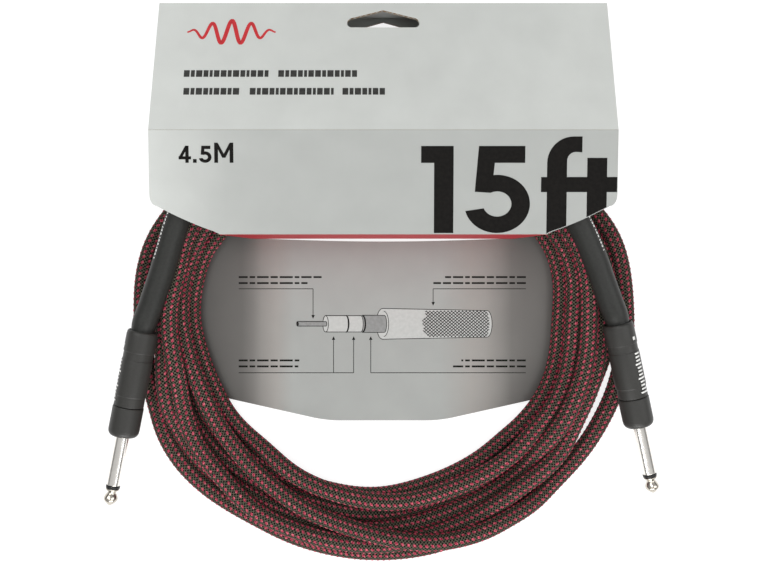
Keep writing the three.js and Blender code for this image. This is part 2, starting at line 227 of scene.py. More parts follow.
def grid_faces(rows, columns, wrap_columns=False, wrap_rows=False):
    """Quads over a grid of points, which is stored row by row."""
    row_count = rows if wrap_rows else rows - 1
    column_count = columns if wrap_columns else columns - 1
    row, column = np.divmod(np.arange(row_count * column_count), column_count)
    next_row, next_column = (row + 1) % rows, (column + 1) % columns
    return np.stack([
        row * columns + column, next_row * columns + column,
        next_row * columns + next_column, row * columns + next_column,
    ], axis=1)


def grid_uv(u, v):
    """A pair for each corner of grid_faces, where u belongs to the rows and v, one longer, to the columns."""
    columns = len(v) - 1
    row, column = np.divmod(np.arange((len(u) - 1) * columns), columns)
    corners = [(row, column), (row + 1, column), (row + 1, column + 1), (row, column + 1)]
    return np.stack([np.stack([u[r], v[c]], axis=1) for r, c in corners], axis=1).reshape(-1, 2)


def distance_along(path):
    """How far along the path each of its points lies."""
    return np.concatenate([[0], np.cumsum(np.linalg.norm(np.diff(path, axis=0), axis=1))])


def sampled(values, travelled, places):
    """Values that belong to the points of a path, at other places along it."""
    return np.stack([np.interp(places, travelled, values[:, k]) for k in range(3)], axis=-1)


def eased(share):
    """From 0 to 1 with a gentle start and end, where share goes from 0 to 1."""
    share = np.clip(share, 0, 1)
    return share * share * (3 - 2 * share)


def smooth_line(points, spacing):
    """Points at an even spacing on a centripetal Catmull-Rom curve through the given ones."""
    points = np.asarray(points, float)
    padded = np.vstack([2 * points[0] - points[1], points, 2 * points[-1] - points[-2]])
    dense = []
    steps = 16
    for i in range(len(points) - 1):
        p0, p1, p2, p3 = padded[i:i + 4]
        t1 = np.linalg.norm(p1 - p0) ** 0.5
        t2 = t1 + np.linalg.norm(p2 - p1) ** 0.5
        t3 = t2 + np.linalg.norm(p3 - p2) ** 0.5
        t = np.linspace(t1, t2, steps, endpoint=False)[:, None]
        a1 = (t1 - t) / t1 * p0 + t / t1 * p1
        a2 = (t2 - t) / (t2 - t1) * p1 + (t - t1) / (t2 - t1) * p2
        a3 = (t3 - t) / (t3 - t2) * p2 + (t - t2) / (t3 - t2) * p3
        b1 = (t2 - t) / t2 * a1 + t / t2 * a2
        b2 = (t3 - t) / (t3 - t1) * a2 + (t - t1) / (t3 - t1) * a3
        dense.append((t2 - t) / (t2 - t1) * b1 + (t - t1) / (t2 - t1) * b2)
    dense = np.vstack([*dense, points[-1:]])
    travelled = distance_along(dense)
    wanted = np.linspace(0, travelled[-1], max(2, round(travelled[-1] / spacing) + 1))
    return sampled(dense, travelled, wanted)


def length_of(path):
    return float(np.linalg.norm(np.diff(path, axis=0), axis=1).sum())


def frames_along(path):
    """Tangents, and two directions across the path that don't twist along it."""
    tangents = unit(np.gradient(path, axis=0))
    across = np.empty_like(path)
    across[0] = unit(np.cross(tangents[0], (0, 0, 1)))
    for i in range(1, len(path)):
        carried = across[i - 1] - tangents[i] * across[i - 1].dot(tangents[i])
        across[i] = carried / np.linalg.norm(carried)
    return tangents, across, np.cross(tangents, across)


def tube_points(path, radii, sides):
    """Rings of points round a path. radii is one radius, or an array with one for each point of each ring."""
    _, across, above = frames_along(path)
    angles = np.linspace(0, 2 * math.pi, sides, endpoint=False)
    radii = np.broadcast_to(radii, (len(path), sides))
    ring = np.cos(angles)[None, :, None] * across[:, None] + np.sin(angles)[None, :, None] * above[:, None]
    return path[:, None] + radii[..., None] * ring


def filleted(profile, radius, steps=4):
    """The profile with each of its inner corners rounded."""
    points = [np.asarray(p, float) for p in profile]
    rounded = [points[0]]
    for before, corner, after in zip(points, points[1:], points[2:]):
        back, on = before - corner, after - corner
        reach = min(radius, 0.4 * np.linalg.norm(back), 0.4 * np.linalg.norm(on))
        start, end = corner + reach * unit(back), corner + reach * unit(on)
        for t in np.linspace(0, 1, steps):
            rounded.append((1 - t) ** 2 * start + 2 * t * (1 - t) * corner + t * t * end)
    rounded.append(points[-1])
    return np.array(rounded)


# ---- places on the plugs ----


def axes_across(along, side):
    """The directions across a line, to its outer side and up from the card. side is -1 left and 1 right."""
    up = unit(np.array([0, 0, 1]) - along * along[2])
    outer = np.cross(along, up)
    return (-outer if outer[0] * side < 0 else outer), up


def plug_axes(end):
    """The directions across the plug to its outer side, up from the card, and along it towards the tip."""
    outward, down = math.radians(end["outward"]), math.radians(end["down"])
    along = np.array([
        end["side"] * math.sin(outward) * math.cos(down), -math.cos(outward) * math.cos(down), -math.sin(down)
    ])
    return *axes_across(along, end["side"]), along


def on_plug(end, z, radius=0, angle=0):
    """A point on the plug: z along its axis, angle in degrees from its outer side round to its upper side."""
    outer, up, along = plug_axes(end)
    z, radius, angle = (np.asarray(value, float)[..., None] for value in (z, radius, np.radians(angle)))
    shoulder = np.asarray(end["shoulder"], float)
    return shoulder + along * z + radius * (np.cos(angle) * outer + np.sin(angle) * up)


# ---- the cable's route ----


def coil_point(clock, inset, layer):
    """A point at a clock angle, so far inside the coil's outer outline, in one of the layers."""
    angle = math.radians(clock)
    axis = COIL_TOP if math.cos(angle) > 0 else COIL_BOTTOM
    outline = np.add(COIL_CENTRE, (COIL_SIDE * math.sin(angle), axis * math.cos(angle)))
    normal = unit([math.sin(angle) / COIL_SIDE, math.cos(angle) / axis])
    x, y = outline - inset * normal
    return (x, y, CORD_RADIUS + float(ground(x, y)) + LAYER * layer)


def ground(x, y):
    """The height of what the cable lies on: the card's back, and the table outside it."""
    shoulder_x, shoulder_rise = BACK_SHOULDER
    lower = BACK_LOWER_Y + np.interp(
        np.abs(x), [BACK_FLAT_HALF_WIDTH, shoulder_x, CARD_HALF_WIDTH], [0, shoulder_rise, BACK_CORNER_RISE]
    )
    overhang, fall = 2, 14  # how far past the card's edge the cable starts to sink, and how far it takes
    beside = (np.abs(x) - CARD_HALF_WIDTH - overhang) / fall
    below = (lower - overhang - y) / fall
    return (BOARD + CARD_CLEARANCE) * (1 - eased(np.maximum(beside, below)))


def sleeve_ceiling(y):
    """The height of the inner face of the card's front, and far above where there is no card."""
    far_above = 100
    places, heights = zip(FLAP_CREASE, FRONT_CREASE, TOP_FRONT_CREASE)
    return np.where(y < FLAP_CREASE[0], far_above, np.interp(y, places, np.subtract(heights, BOARD)))


def lead_route(end):
    """From the jacket's end inside the plug, straight out behind it, and on to the top of the coil."""
    on_axis = (JACKET_END, JACKET_END / 2, 0, -STRAIGHT_BEHIND_PLUG / 2, -STRAIGHT_BEHIND_PLUG)
    return [*(on_plug(end, z) for z in on_axis), *(np.array(point, float) for point in end["route"])]


def drawn_route():
    """The route as it was planned: lead a, the turns and what joins them, and lead b."""
    lead_a, lead_b = lead_route(ENDS["a"]), lead_route(ENDS["b"])
    points = [*lead_a, *AFTER_LEAD_A]
    for number, (insets, layers) in enumerate(TURNS):
        points += [coil_point(*place) for place in zip(CLOCK, insets, layers)]
        if number < len(JOINS):
            insets, layer = JOINS[number]
            points += [coil_point(clock, inset, layer) for clock, inset in zip(CLOCK_IN_SLEEVE, insets)]
    return smooth_line([*points, *BEFORE_LEAD_B, *reversed(lead_b)], ROUTE_SPACING)


def settle(path, held_length):
    """Lets the turns push each other apart, sink on to what they lie on, and straighten as a stiff cable
    does. The first and last stretch, held_length long, stay where they are."""
    apart = 2 * CORD_RADIUS - PRESSED_IN
    path = path.copy()
    plan = path.copy()
    count = len(path)
    travelled = np.arange(count) * length_of(path) / (count - 1)
    free = ((travelled > held_length) & (travelled < travelled[-1] - held_length)).astype(float)[:, None]
    index = np.arange(count)
    for step in range(SETTLING_STEPS):
        if step % STEPS_PER_SEARCH == 0:
            square = (path ** 2).sum(axis=1)
            distances = square[:, None] + square[None] - 2 * path @ path.T
            near = distances < (apart + SEARCH_MARGIN) ** 2
            first, second = np.nonzero(near & (index[None] - index[:, None] > POINTS_OF_ONE_BEND))
        gap = path[second] - path[first]
        distance = np.maximum(np.linalg.norm(gap, axis=1), 1e-6)
        overlap = np.maximum(apart - distance, 0)
        share = 0.5 * overlap[:, None] * gap / distance[:, None]
        push = np.zeros_like(path)
        np.add.at(push, second, share)
        np.add.at(push, first, -share)
        hits = np.bincount(np.concatenate([first[overlap > 0], second[overlap > 0]]), minlength=count)
        push /= np.maximum(hits, 1)[:, None] ** 0.5
        bend = np.zeros_like(path)
        curve = path[:-2] - 2 * path[1:-1] + path[2:]
        bend[2:-2] = curve[:-2] - 2 * curve[1:-1] + curve[2:]
        easing = 1 - step / SETTLING_STEPS
        pull = (plan - path) * np.array(PULL_TO_PLAN) * max(easing, LEAST_PULL)
        path += free * (push - STIFFNESS * bend + pull)
        path[:, 2] -= SINKING * easing * free[:, 0]
        low = CORD_RADIUS + ground(path[:, 0], path[:, 1])
        high = sleeve_ceiling(path[:, 1]) - CORD_RADIUS - CARD_CLEARANCE
        path[:, 2] = np.where(free[:, 0] > 0, np.clip(path[:, 2], low, np.maximum(high, low)), path[:, 2])
    return path


# ---- materials ----


def new_material(name):
    material = bpy.data.materials.new(name)
    material.use_nodes = True
    return material, material.node_tree, material.node_tree.nodes["Principled BSDF"]


def fill_inputs(tree, node, inputs):
    """Gives each named input its value, or a link where the value is another node's output."""
    for name, value in inputs.items():
        if isinstance(value, bpy.types.NodeSocket):
            tree.links.new(value, node.inputs[name])
        else:
            node.inputs[name].default_value = value


def add_node(tree, kind, inputs, **settings):
    node = tree.nodes.new("ShaderNode" + kind)
    for name, value in settings.items():
        setattr(node, name, value)
    fill_inputs(tree, node, inputs)
    return node


def place_on(tree, coordinates):
    return add_node(tree, "TexCoord", {}).outputs[coordinates]


def noise(tree, scale, detail=3):
    inputs = {"Scale": scale, "Detail": detail, "Vector": place_on(tree, "Object")}
    return add_node(tree, "TexNoise", inputs).outputs["Fac"]


def colour_ramp(tree, factor, stops):
    ramp = add_node(tree, "ValToRGB", {"Fac": factor})
    elements = ramp.color_ramp.elements
    while len(elements) < len(stops):
        elements.new(0.5)
    for element, (position, colour) in zip(elements, stops):
        element.position = position
        element.color = (*colour, 1)
    return ramp.outputs["Color"]


def bumps(tree, height, strength, distance):
    inputs = {"Strength": strength, "Distance": distance, "Height": height}
    return add_node(tree, "Bump", inputs).outputs["Normal"]


def between(tree, factor, low, high):
    return add_node(tree, "MapRange", {"To Min": low, "To Max": high, "Value": factor}).outputs["Result"]


def grained(name, dark, light, grain, roughness, gloss=0.5, bump=0.15, bump_depth=0.00005):
    """A material whose colour, roughness and height vary a little in a fine grain. grain counts per metre."""
    material, tree, shader = new_material(name)
    fine = noise(tree, grain)
    fill_inputs(tree, shader, {
        "Base Color": colour_ramp(tree, fine, [(0.3, dark), (0.7, light)]),
        "Roughness": between(tree, fine, *roughness),
        "Specular IOR Level": gloss,
        "Normal": bumps(tree, fine, bump, bump_depth),
    })
    return material


def slanted_bands(tree, mirrored):
    """Slanted bands over the UV map, a little more than one to each of its units."""
    scale = (1, -1 if mirrored else 1, 1)
    mapping = add_node(tree, "Mapping", {"Scale": scale, "Vector": place_on(tree, "UV")})
    inputs = {"Scale": 1.1, "Distortion": 0.6, "Detail": 1, "Vector": mapping.outputs["Vector"]}
    return add_node(tree, "TexWave", inputs, bands_direction="DIAGONAL").outputs["Fac"]


def braid_ground():
    """The dark threads of the braid. One unit of its UV map is one stitch along and one row round."""
    material, tree, shader = new_material("braid_ground")
    one_way, other_way = slanted_bands(tree, False), slanted_bands(tree, True)
    weave = add_node(tree, "Math", {0: one_way, 1: other_way}, operation="MAXIMUM").outputs["Value"]
    threads = [(0.45, (0.004, 0.004, 0.003)), (0.85, (0.026, 0.023, 0.016)), (1, (0.12, 0.11, 0.08))]
    fill_inputs(tree, shader, {
        "Base Color": colour_ramp(tree, weave, threads), "Roughness": 0.9, "Specular IOR Level": 0.15,
        "Normal": bumps(tree, weave, 0.9, 0.0003),
    })
    return material


def braid_stitch():
    """The crimson stitches, with fine lighter strands."""
    material, tree, shader = new_material("braid_stitch")
    strands = noise(tree, 1400, 2)
    shades = [(0.3, (0.13, 0.008, 0.02)), (0.5, (0.34, 0.026, 0.058)), (0.7, (0.64, 0.16, 0.20))]
    fill_inputs(tree, shader, {
        "Base Color": colour_ramp(tree, strands, shades), "Roughness": 0.7, "Specular IOR Level": 0.2,
        "Normal": bumps(tree, strands, 0.5, 0.0002),
    })
    return material


def printed_board_with_painted_shade(name, shades):
    """Coated board. shades gives its colour at places across the card, as (x in millimetres, colour): the
    print's own tone, and on most boards painted light and painted shade across it.
    """
    material, tree, shader = new_material(name)
    split = add_node(tree, "SeparateXYZ", {"Vector": place_on(tree, "Object")})
    across = add_node(tree, "MapRange", {
        "From Min": -CARD_HALF_WIDTH * MM, "From Max": CARD_HALF_WIDTH * MM, "Value": split.outputs["X"],
    })
    stops = [((x / CARD_HALF_WIDTH + 1) / 2, colour) for x, colour in shades]
    mottle = [(0.25, (0.96,) * 3), (0.75, (1.04,) * 3)]
    mix = add_node(tree, "Mix", {
        "Factor": 1,
        "A": colour_ramp(tree, across.outputs["Result"], stops),
        "B": colour_ramp(tree, noise(tree, 60, 4), mottle),
    }, data_type="RGBA", blend_type="MULTIPLY")
    fill_inputs(tree, shader, {
        "Base Color": mix.outputs["Result"],
        "Roughness": between(tree, noise(tree, 900, 2), 0.38, 0.5),
        "Specular IOR Level": 0.3,
        "Normal": bumps(tree, noise(tree, 500, 3), 0.06, 0.00008),
    })
    return material


def greys_with_painted_shade(levels):
    """The card's slightly green grey at each level of painted light and shade, with a painted warmer tint
    where the painted shade is dark.
    """
    dark, light = (1, 0.96, 0.9), (1, 1.03, 0.99)
    return [(x, tuple(level * share for share in (light if level > 0.3 else dark))) for x, level in levels]


def polished_metal(name, dark, light, roughness):
    """Metal with small smudges and a very fine grain."""
    material, tree, shader = new_material(name)
    smudge = noise(tree, 250, 4)
    fill_inputs(tree, shader, {
        "Base Color": colour_ramp(tree, smudge, [(0.3, dark), (0.7, light)]),
        "Roughness": between(tree, smudge, *roughness),
        "Metallic": 1,
        "Normal": bumps(tree, noise(tree, 3000, 2), 0.03, 0.00002),
    })
    return material


# Painted light: this grey is painted lighter towards the card's left and right edges.
UPPER_PRINT_PAINTED_LIGHT = printed_board_with_painted_shade("upper_print_painted_light", greys_with_painted_shade([(-100, 0.64), (-70, 0.605), (20, 0.57), (90, 0.60)]))
# Painted light: this grey is painted lighter towards the card's left edge.
LOWER_PRINT_PAINTED_LIGHT = printed_board_with_painted_shade("lower_print_painted_light", greys_with_painted_shade([
    (-99, 0.56), (-90, 0.52), (-80, 0.475), (-67, 0.415), (-52, 0.395), (-30, 0.387), (100, 0.387),
]))
# Painted shade: the inner face is painted darker and warmer towards its left and right sides, where the
# coil's turns shade it.
INNER_PRINT_PAINTED_SHADE = printed_board_with_painted_shade("inner_print_painted_shade", greys_with_painted_shade([
    (-80, 0.09), (-66, 0.11), (-61, 0.155), (-57, 0.225), (-50, 0.295), (-42, 0.322), (0, 0.327), (27, 0.32),
    (41, 0.297), (48, 0.26), (55, 0.20), (60, 0.142), (66, 0.126), (80, 0.12),
]))
RED_PRINT = printed_board_with_painted_shade("red_print", [(-70, (0.40, 0.012, 0.022)), (70, (0.42, 0.016, 0.028))])
KRAFT = grained("kraft_edge", (0.20, 0.12, 0.06), (0.40, 0.27, 0.16), 1500, (0.8, 0.95), bump=0.4)
BLACK_INK = grained("black_ink", (0.006, 0.0055, 0.005), (0.010, 0.009, 0.008), 700, (0.5, 0.6), 0.08, 0.05)
GREY_INK = grained("grey_ink", (0.03, 0.03, 0.028), (0.05, 0.05, 0.047), 700, (0.4, 0.5), 0.2, 0.05)
SHADE_INK = grained("shade_ink", (0.20, 0.205, 0.20), (0.25, 0.255, 0.25), 700, (0.4, 0.5), bump=0.05)
PALE_INK = grained("pale_ink", (0.42, 0.43, 0.415), (0.47, 0.48, 0.465), 700, (0.4, 0.5), bump=0.05)
RED_INK = grained("red_ink", (0.50, 0.012, 0.018), (0.60, 0.02, 0.028), 700, (0.35, 0.5), bump=0.05)
WHITE_INK = grained("white_ink", (0.72, 0.72, 0.70), (0.82, 0.82, 0.80), 700, (0.5, 0.6), bump=0.05)
BRAID = braid_ground()
STITCH = braid_stitch()
SHELL = grained("matt_black_shell", (0.025, 0.0245, 0.022), (0.033, 0.0325, 0.03), 2500, (0.4, 0.5), 0.4, 0.1)
BOOT = grained(
    "heat_shrink_boot", (0.012, 0.0125, 0.011), (0.019, 0.0195, 0.017), 900, (0.42, 0.55), 0.4, 0.2, 0.0001
)
NICKEL = polished_metal("polished_nickel", (0.90, 0.87, 0.82), (0.96, 0.93, 0.88), (0.16, 0.24))
TIP_NICKEL = polished_metal("tip_nickel", (0.52, 0.48, 0.42), (0.70, 0.66, 0.59), (0.10, 0.18))
BRASS = polished_metal("brass_sheet", (0.55, 0.38, 0.14), (0.68, 0.49, 0.20), (0.25, 0.4))
COPPER = polished_metal("copper_strands", (0.60, 0.28, 0.14), (0.75, 0.38, 0.20), (0.3, 0.45))
CLEAR_PLASTIC = grained("natural_plastic", (0.70, 0.71, 0.67), (0.80, 0.81, 0.77), 800, (0.25, 0.4))
BLACK_PLASTIC = grained("black_insulator", (0.008, 0.008, 0.008), (0.014, 0.014, 0.014), 1200, (0.3, 0.45))


# ---- camera ----

CAMERA_PLACE = (-0.001, 0.00235, 0.4)  # it looks straight down
SENSOR_WIDTH = 36
FOCAL_LENGTH = 40.25


def make_camera():
    data = bpy.data.cameras.new("camera")
    data.sensor_width = SENSOR_WIDTH
    data.lens = FOCAL_LENGTH
    data.clip_start = 0.01
    camera = bpy.data.objects.new("camera", data)
    camera.location = CAMERA_PLACE
    bpy.context.scene.collection.objects.link(camera)
    bpy.context.scene.camera = camera


make_camera()


# ---- cable ----

STITCH_PITCH = 2.6
STITCH_ROWS = 8
STITCH_LENGTH = 2.15
STITCH_WIDTH = 1.5
STITCH_HEIGHT = 0.32
STITCH_DEPTH = 0.06  # how far a stitch's rim sinks into the cable
STITCH_CORNERS = 6
STITCH_SLANT = math.radians(38)
CABLE_SIDES = 20
HELD_BEHIND_BOOT = 30  # how much cable lies as drawn behind each boot
END_POINTS = 120  # how many points of the cable's path make up an end, which is longer than a boot


def stitches(path):
    """Raised slanted stitches in rows along the cable, staggered from row to row."""
    tangents, across, above = frames_along(path)
    travelled = distance_along(path)
    rim = np.radians(np.arange(STITCH_CORNERS) * 360 / STITCH_CORNERS + 30)
    along_rim = STITCH_LENGTH / 2 * np.cos(rim)
    across_rim = STITCH_WIDTH / 2 * np.sin(rim)
    vertices, faces = [], []
    for row in range(STITCH_ROWS):
        angle = 2 * math.pi * row / STITCH_ROWS
        start = STITCH_PITCH * (0.5 + 0.5 * (row % 2))
        places = np.arange(start, travelled[-1] - STITCH_PITCH, STITCH_PITCH)
        point, tangent, side, up = (
            sampled(values, travelled, places) for values in (path, tangents, across, above)
        )
        # the rim's places in the cable's surface, turned by the slant
        cosine, sine = math.cos(STITCH_SLANT), math.sin(STITCH_SLANT)
        lengthwise = along_rim * cosine - across_rim * sine
        around = angle + (along_rim * sine + across_rim * cosine) / CORD_RADIUS
        corners = [(shift, turn, CORD_RADIUS - STITCH_DEPTH) for shift, turn in zip(lengthwise, around)]
        base = sum(map(len, vertices))
        for shift, turn, radius in [*corners, (0, angle, CORD_RADIUS + STITCH_HEIGHT)]:
            vertices.append(point + tangent * shift + radius * (math.cos(turn) * side + math.sin(turn) * up))
        count = len(places)
        numbers = base + np.arange(count)
        crown = numbers + STITCH_CORNERS * count
        for k in range(STITCH_CORNERS):
            following = (k + 1) % STITCH_CORNERS
            faces.append(np.stack([numbers + k * count, numbers + following * count, crown], axis=1))
    return np.vstack(vertices), np.vstack(faces)


def make_cable():
    """The whole cable, from its end inside one plug to its end inside the other."""
    settled = settle(drawn_route(), JACKET_END + BOOT_TAIL + HELD_BEHIND_BOOT)
    path = smooth_line(settled, STITCH_PITCH)
    print("cable length", length_of(path))
    rings = tube_points(path, CORD_RADIUS, CABLE_SIDES)
    count = len(path)
    tube_vertices = rings.reshape(-1, 3)
    tube_faces = grid_faces(count, CABLE_SIDES, wrap_columns=True)
    tube_uv = grid_uv(np.arange(count, dtype=float), np.linspace(0, STITCH_ROWS, CABLE_SIDES + 1))
    caps = [list(range(CABLE_SIDES)), list(range((count - 1) * CABLE_SIDES, count * CABLE_SIDES))[::-1]]
    stitch_vertices, stitch_faces = stitches(path)
    faces = [*tube_faces.tolist(), *caps, *(stitch_faces + len(tube_vertices)).tolist()]
    corner_count = sum(len(face) for face in faces[len(tube_faces):])
    uv = np.vstack([tube_uv, np.zeros((corner_count, 2))])
    kinds = np.zeros(len(faces), int)
    kinds[len(tube_faces) + len(caps):] = 1
    vertices = np.vstack([tube_vertices, stitch_vertices])
    cable = add_piece("cable", "root", "braid", vertices, faces, [BRAID, STITCH], kinds, uv)
    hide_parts("cable_coil", "cable_lead_a", "cable_lead_b")
    return cable, path


cable, cable_path = make_cable()
cable_ends = {"a": cable_path[:END_POINTS], "b": cable_path[::-1][:END_POINTS]}


# ---- heat-shrink boots ----

BOOT_RINGS = 150
BOOT_SIDES = 40
DRAWN_IN = 0.45  # how much thinner the boot is at its tail
DRAWN_IN_LENGTH = 2.2
SWELL_LENGTH = 5
RIPPLE_START_LENGTH = 6
# The boot's ripples: height, length, shift, number of them round the boot, and the turn of the first.
RIPPLES = ((0.05, 3.1, 0, 2, 1), (0.04, 7.3, 2, 3, 0))


def make_boot(suffix, path):
    """The tube shrunk over the cable: snug, a little uneven, and drawn in at its tail."""
    end = JACKET_END + BOOT_TAIL
    places = np.linspace(JACKET_END - BOOT_END, end, BOOT_RINGS)
    centre = sampled(path, distance_along(path), places)
    outside = places - JACKET_END  # how far behind the barrel each ring is
    snug = BOOT_RADIUS + BOOT_SWELL * eased(outside / SWELL_LENGTH)
    snug -= DRAWN_IN * np.exp((places - end) / DRAWN_IN_LENGTH)
    angles = np.linspace(0, 2 * math.pi, BOOT_SIDES, endpoint=False)
    ripple = sum(
        height * np.sin(places / length + shift)[:, None] * np.cos(waves * angles + turn)[None]
        for height, length, shift, waves, turn in RIPPLES
    )
    fade = np.clip(outside / RIPPLE_START_LENGTH, 0, 1)[:, None]
    outer = tube_points(centre, snug[:, None] + fade * ripple, BOOT_SIDES)
    inner = tube_points(centre, BOOT_BORE, BOOT_SIDES)[::-1]
    vertices = np.vstack([outer.reshape(-1, 3), inner.reshape(-1, 3)])
    faces = grid_faces(2 * BOOT_RINGS, BOOT_SIDES, wrap_columns=True, wrap_rows=True)
    boot = add_piece("boot_" + suffix, "root", "heat_shrink", vertices, faces, [BOOT])
    auto_smooth(boot)
    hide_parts("heat_shrink_boot_" + suffix)
    return boot


boots = {suffix: make_boot(suffix, path) for suffix, path in cable_ends.items()}


# ---- plugs ----

TURNED_SIDES = 96
MERGE_DISTANCE = 1e-6  # in metres


def make_turned(name, end, body, slot, profile, material):
    """A piece turned about the plug's axis, from (radius, z) pairs.
    An open profile starts and ends on the axis."""
    closed = np.allclose(profile[0], profile[-1])
    if closed:
        profile = profile[:-1]
    angles = np.linspace(0, 360, TURNED_SIDES, endpoint=False)
    rings = on_plug(end, profile[:, 1][:, None], profile[:, 0][:, None], angles[None])
    faces = grid_faces(len(profile), TURNED_SIDES, wrap_columns=True, wrap_rows=closed)
    piece = add_piece(name, body, slot, rings.reshape(-1, 3), faces, [material])
    with edited(piece) as mesh:
        bmesh.ops.remove_doubles(mesh, verts=mesh.verts, dist=MERGE_DISTANCE)
        bmesh.ops.recalc_face_normals(mesh, faces=mesh.faces)
    auto_smooth(piece, degrees=40)
    return piece


def barrel_profile():
    return filleted([
        (MOUTH_BORE, 0), (6.15, 0), (6.55, 0.6), (SHELL_RADIUS, 1.9), (SHELL_RADIUS, 9.4), (6.5, 9.6),
        (6.5, 12.9), (6.7, 13.2), (SHELL_RADIUS, 16), (SHELL_RADIUS, 29.1), (6.5, 29.4),
        (6.55, BARREL_LENGTH), (5.45, BARREL_LENGTH), (5.45, BOOT_END), (5.35, BOOT_END), (5.35, MOUTH_DEPTH),
        (MOUTH_BORE, MOUTH_DEPTH - 0.4), (MOUTH_BORE, 0),
    ], radius=0.22)


def nose_profile():
    gap = 0.3
    spigot_bore, contact_bore = SPIGOT_RADIUS + gap, CONTACT_RADIUS + gap
    return filleted([
        (spigot_bore, NOSE_START), (6.55, NOSE_START), (SHELL_RADIUS, NOSE_START + 0.45),
        (SHELL_RADIUS, 44.7), (6.62, 45.8), (6.2, 46.75), (5.5, 47.4), (4.6, NOSE_END),
        (contact_bore, NOSE_END), (contact_bore, SPIGOT_END + gap), (spigot_bore, SPIGOT_END + gap),
        (spigot_bore, NOSE_START),
    ], radius=0.2)


def sleeve_profile():
    bore = 2.1
    root = SPIGOT_RADIUS - 0.3  # of the thread
    thread = []
    for turn in range(int((SPIGOT_END - SPIGOT_START) / THREAD_PITCH)):
        z = SPIGOT_START + turn * THREAD_PITCH
        thread += [(SPIGOT_RADIUS, z + 0.15), (root, z + 0.45)]
    return filleted([
        (bore, SPIGOT_START), (root, SPIGOT_START), *thread, (SPIGOT_RADIUS, SPIGOT_END - 0.1),
        (SPIGOT_RADIUS, SPIGOT_END), (CONTACT_RADIUS, SPIGOT_END), (CONTACT_RADIUS, SLEEVE_END - 0.15),
        (CONTACT_RADIUS - 0.15, SLEEVE_END), (bore, SLEEVE_END), (bore, SPIGOT_START),
    ], radius=0.12, steps=3)


def tip_profile():
    rod, rod_start = 1.15, 26
    collar = SLEEVE_END + 1.7
    ball_and_cone = (
        (2.95, 0), (3.0, 0.35), (2.75, 0.8), (2.15, 1.25), (1.9, 1.75), (2.05, 2.3), (2.6, 3.1), (3.0, 4.1),
        (3.1, 4.8), (2.85, 5.5), (2.1, 6.4), (1.35, 7.1), (0.75, 7.6),
    )
    head = [(radius, collar + z) for radius, z in ball_and_cone]
    return filleted([(0, rod_start), (rod, rod_start), (rod, collar), *head, (0, TIP_END)], radius=0.4)


def insulator_profile():
    bore, radius = 1.45, 3.1
    start, end = SLEEVE_END + 0.3, SLEEVE_END + 1.4
    return filleted([(bore, start), (radius, start), (radius, end), (bore, end), (bore, start)], radius=0.12)


def make_plug(suffix):
    turned = {
        "barrel": ("barrel_" + suffix, "shell_black", barrel_profile(), SHELL),
        "nose_shell": ("root", "shell_black", nose_profile(), SHELL),
        "sleeve_contact": ("root", "nickel", sleeve_profile(), NICKEL),
        "tip_contact": ("root", "nickel", tip_profile(), TIP_NICKEL),
        "tip_insulator": ("root", "plastic_black", insulator_profile(), BLACK_PLASTIC),
    }
    pieces = {}
    for part, (body, slot, profile, material) in turned.items():
        pieces[part] = make_turned(part + "_fine_" + suffix, ENDS[suffix], body, slot, profile, material)
        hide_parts(part + "_" + suffix)
    inner = {
        "barrel_liner": CLEAR_PLASTIC, "rod_insulator": CLEAR_PLASTIC, "rear_washer": BLACK_PLASTIC,
        "tip_solder_lug": BRASS, "ground_lug": BRASS, "shield_pigtail": COPPER,
        "core_insulation": CLEAR_PLASTIC, "core_conductor": COPPER,
    }
    for part, material in inner.items():
        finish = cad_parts[part + "_" + suffix].data.materials
        finish.clear()
        finish.append(material)
    return pieces


plugs = {suffix: make_plug(suffix) for suffix in ENDS}


# ---- marks on the plugs and the boots ----

MARK_THICKNESS = 0.05
MARK_COLUMNS = 4
BARREL_TICKS = 12
BOOT_TICKS = 16


def strip_on_tube(place, start, end, width, rows=6):
    """A thin closed patch on a round surface, from start to end along it and width millimetres across."""
    columns = MARK_COLUMNS
    lengths, turns = np.linspace(start, end, rows), np.linspace(-width / 2, width / 2, columns)
    vertices = [
        place(length, turn, height) for height in (MARK_THICKNESS, 0) for length in lengths for turn in turns
    ]
    layer = rows * columns
    top = grid_faces(rows, columns)
    faces = [*top.tolist(), *(top[:, ::-1] + layer).tolist()]
    edge = list(range(columns))
    edge += [r * columns + columns - 1 for r in range(1, rows)]
    edge += [(rows - 1) * columns + c for c in range(columns - 2, -1, -1)]
    edge += [r * columns for r in range(rows - 2, 0, -1)]
    for a, b in zip(edge, edge[1:] + edge[:1]):
        faces.append([a, b, b + layer, a + layer])
    return np.array(vertices), faces


def add_marks(name, body, slot, patches):
    vertices, faces = [], []
    for patch_vertices, patch_faces in patches:
        faces += [[index + len(vertices) for index in face] for face in patch_faces]
        vertices += list(patch_vertices)
    turn_outwards(add_piece(name, body, slot, vertices, faces, [WHITE_INK]))


def barrel_marks(suffix):
    """A plain printed scale of ticks along the barrel's outer side, with a dot at its rear end."""
    end = ENDS[suffix]
    dot_start, dot_end, dot_width = 6.4, 7.9, 1.5
    first_tick, pitch, tick_length, tick_width, long_tick_width = 13.6, 1.6, 0.75, 3, 4.6

    def place(z, turn, height):
        angle = end["mark_angle"] + math.degrees(turn / SHELL_RADIUS)
        return on_plug(end, z, SHELL_RADIUS + height, angle)

    patches = [strip_on_tube(place, dot_start, dot_end, dot_width)]
    for tick in range(BARREL_TICKS):
        z = first_tick + pitch * tick
        width = long_tick_width if tick % 4 == 3 else tick_width
        patches.append(strip_on_tube(place, z, z + tick_length, width))
    add_marks("barrel_marks_" + suffix, "barrel_" + suffix, "shell_black", patches)


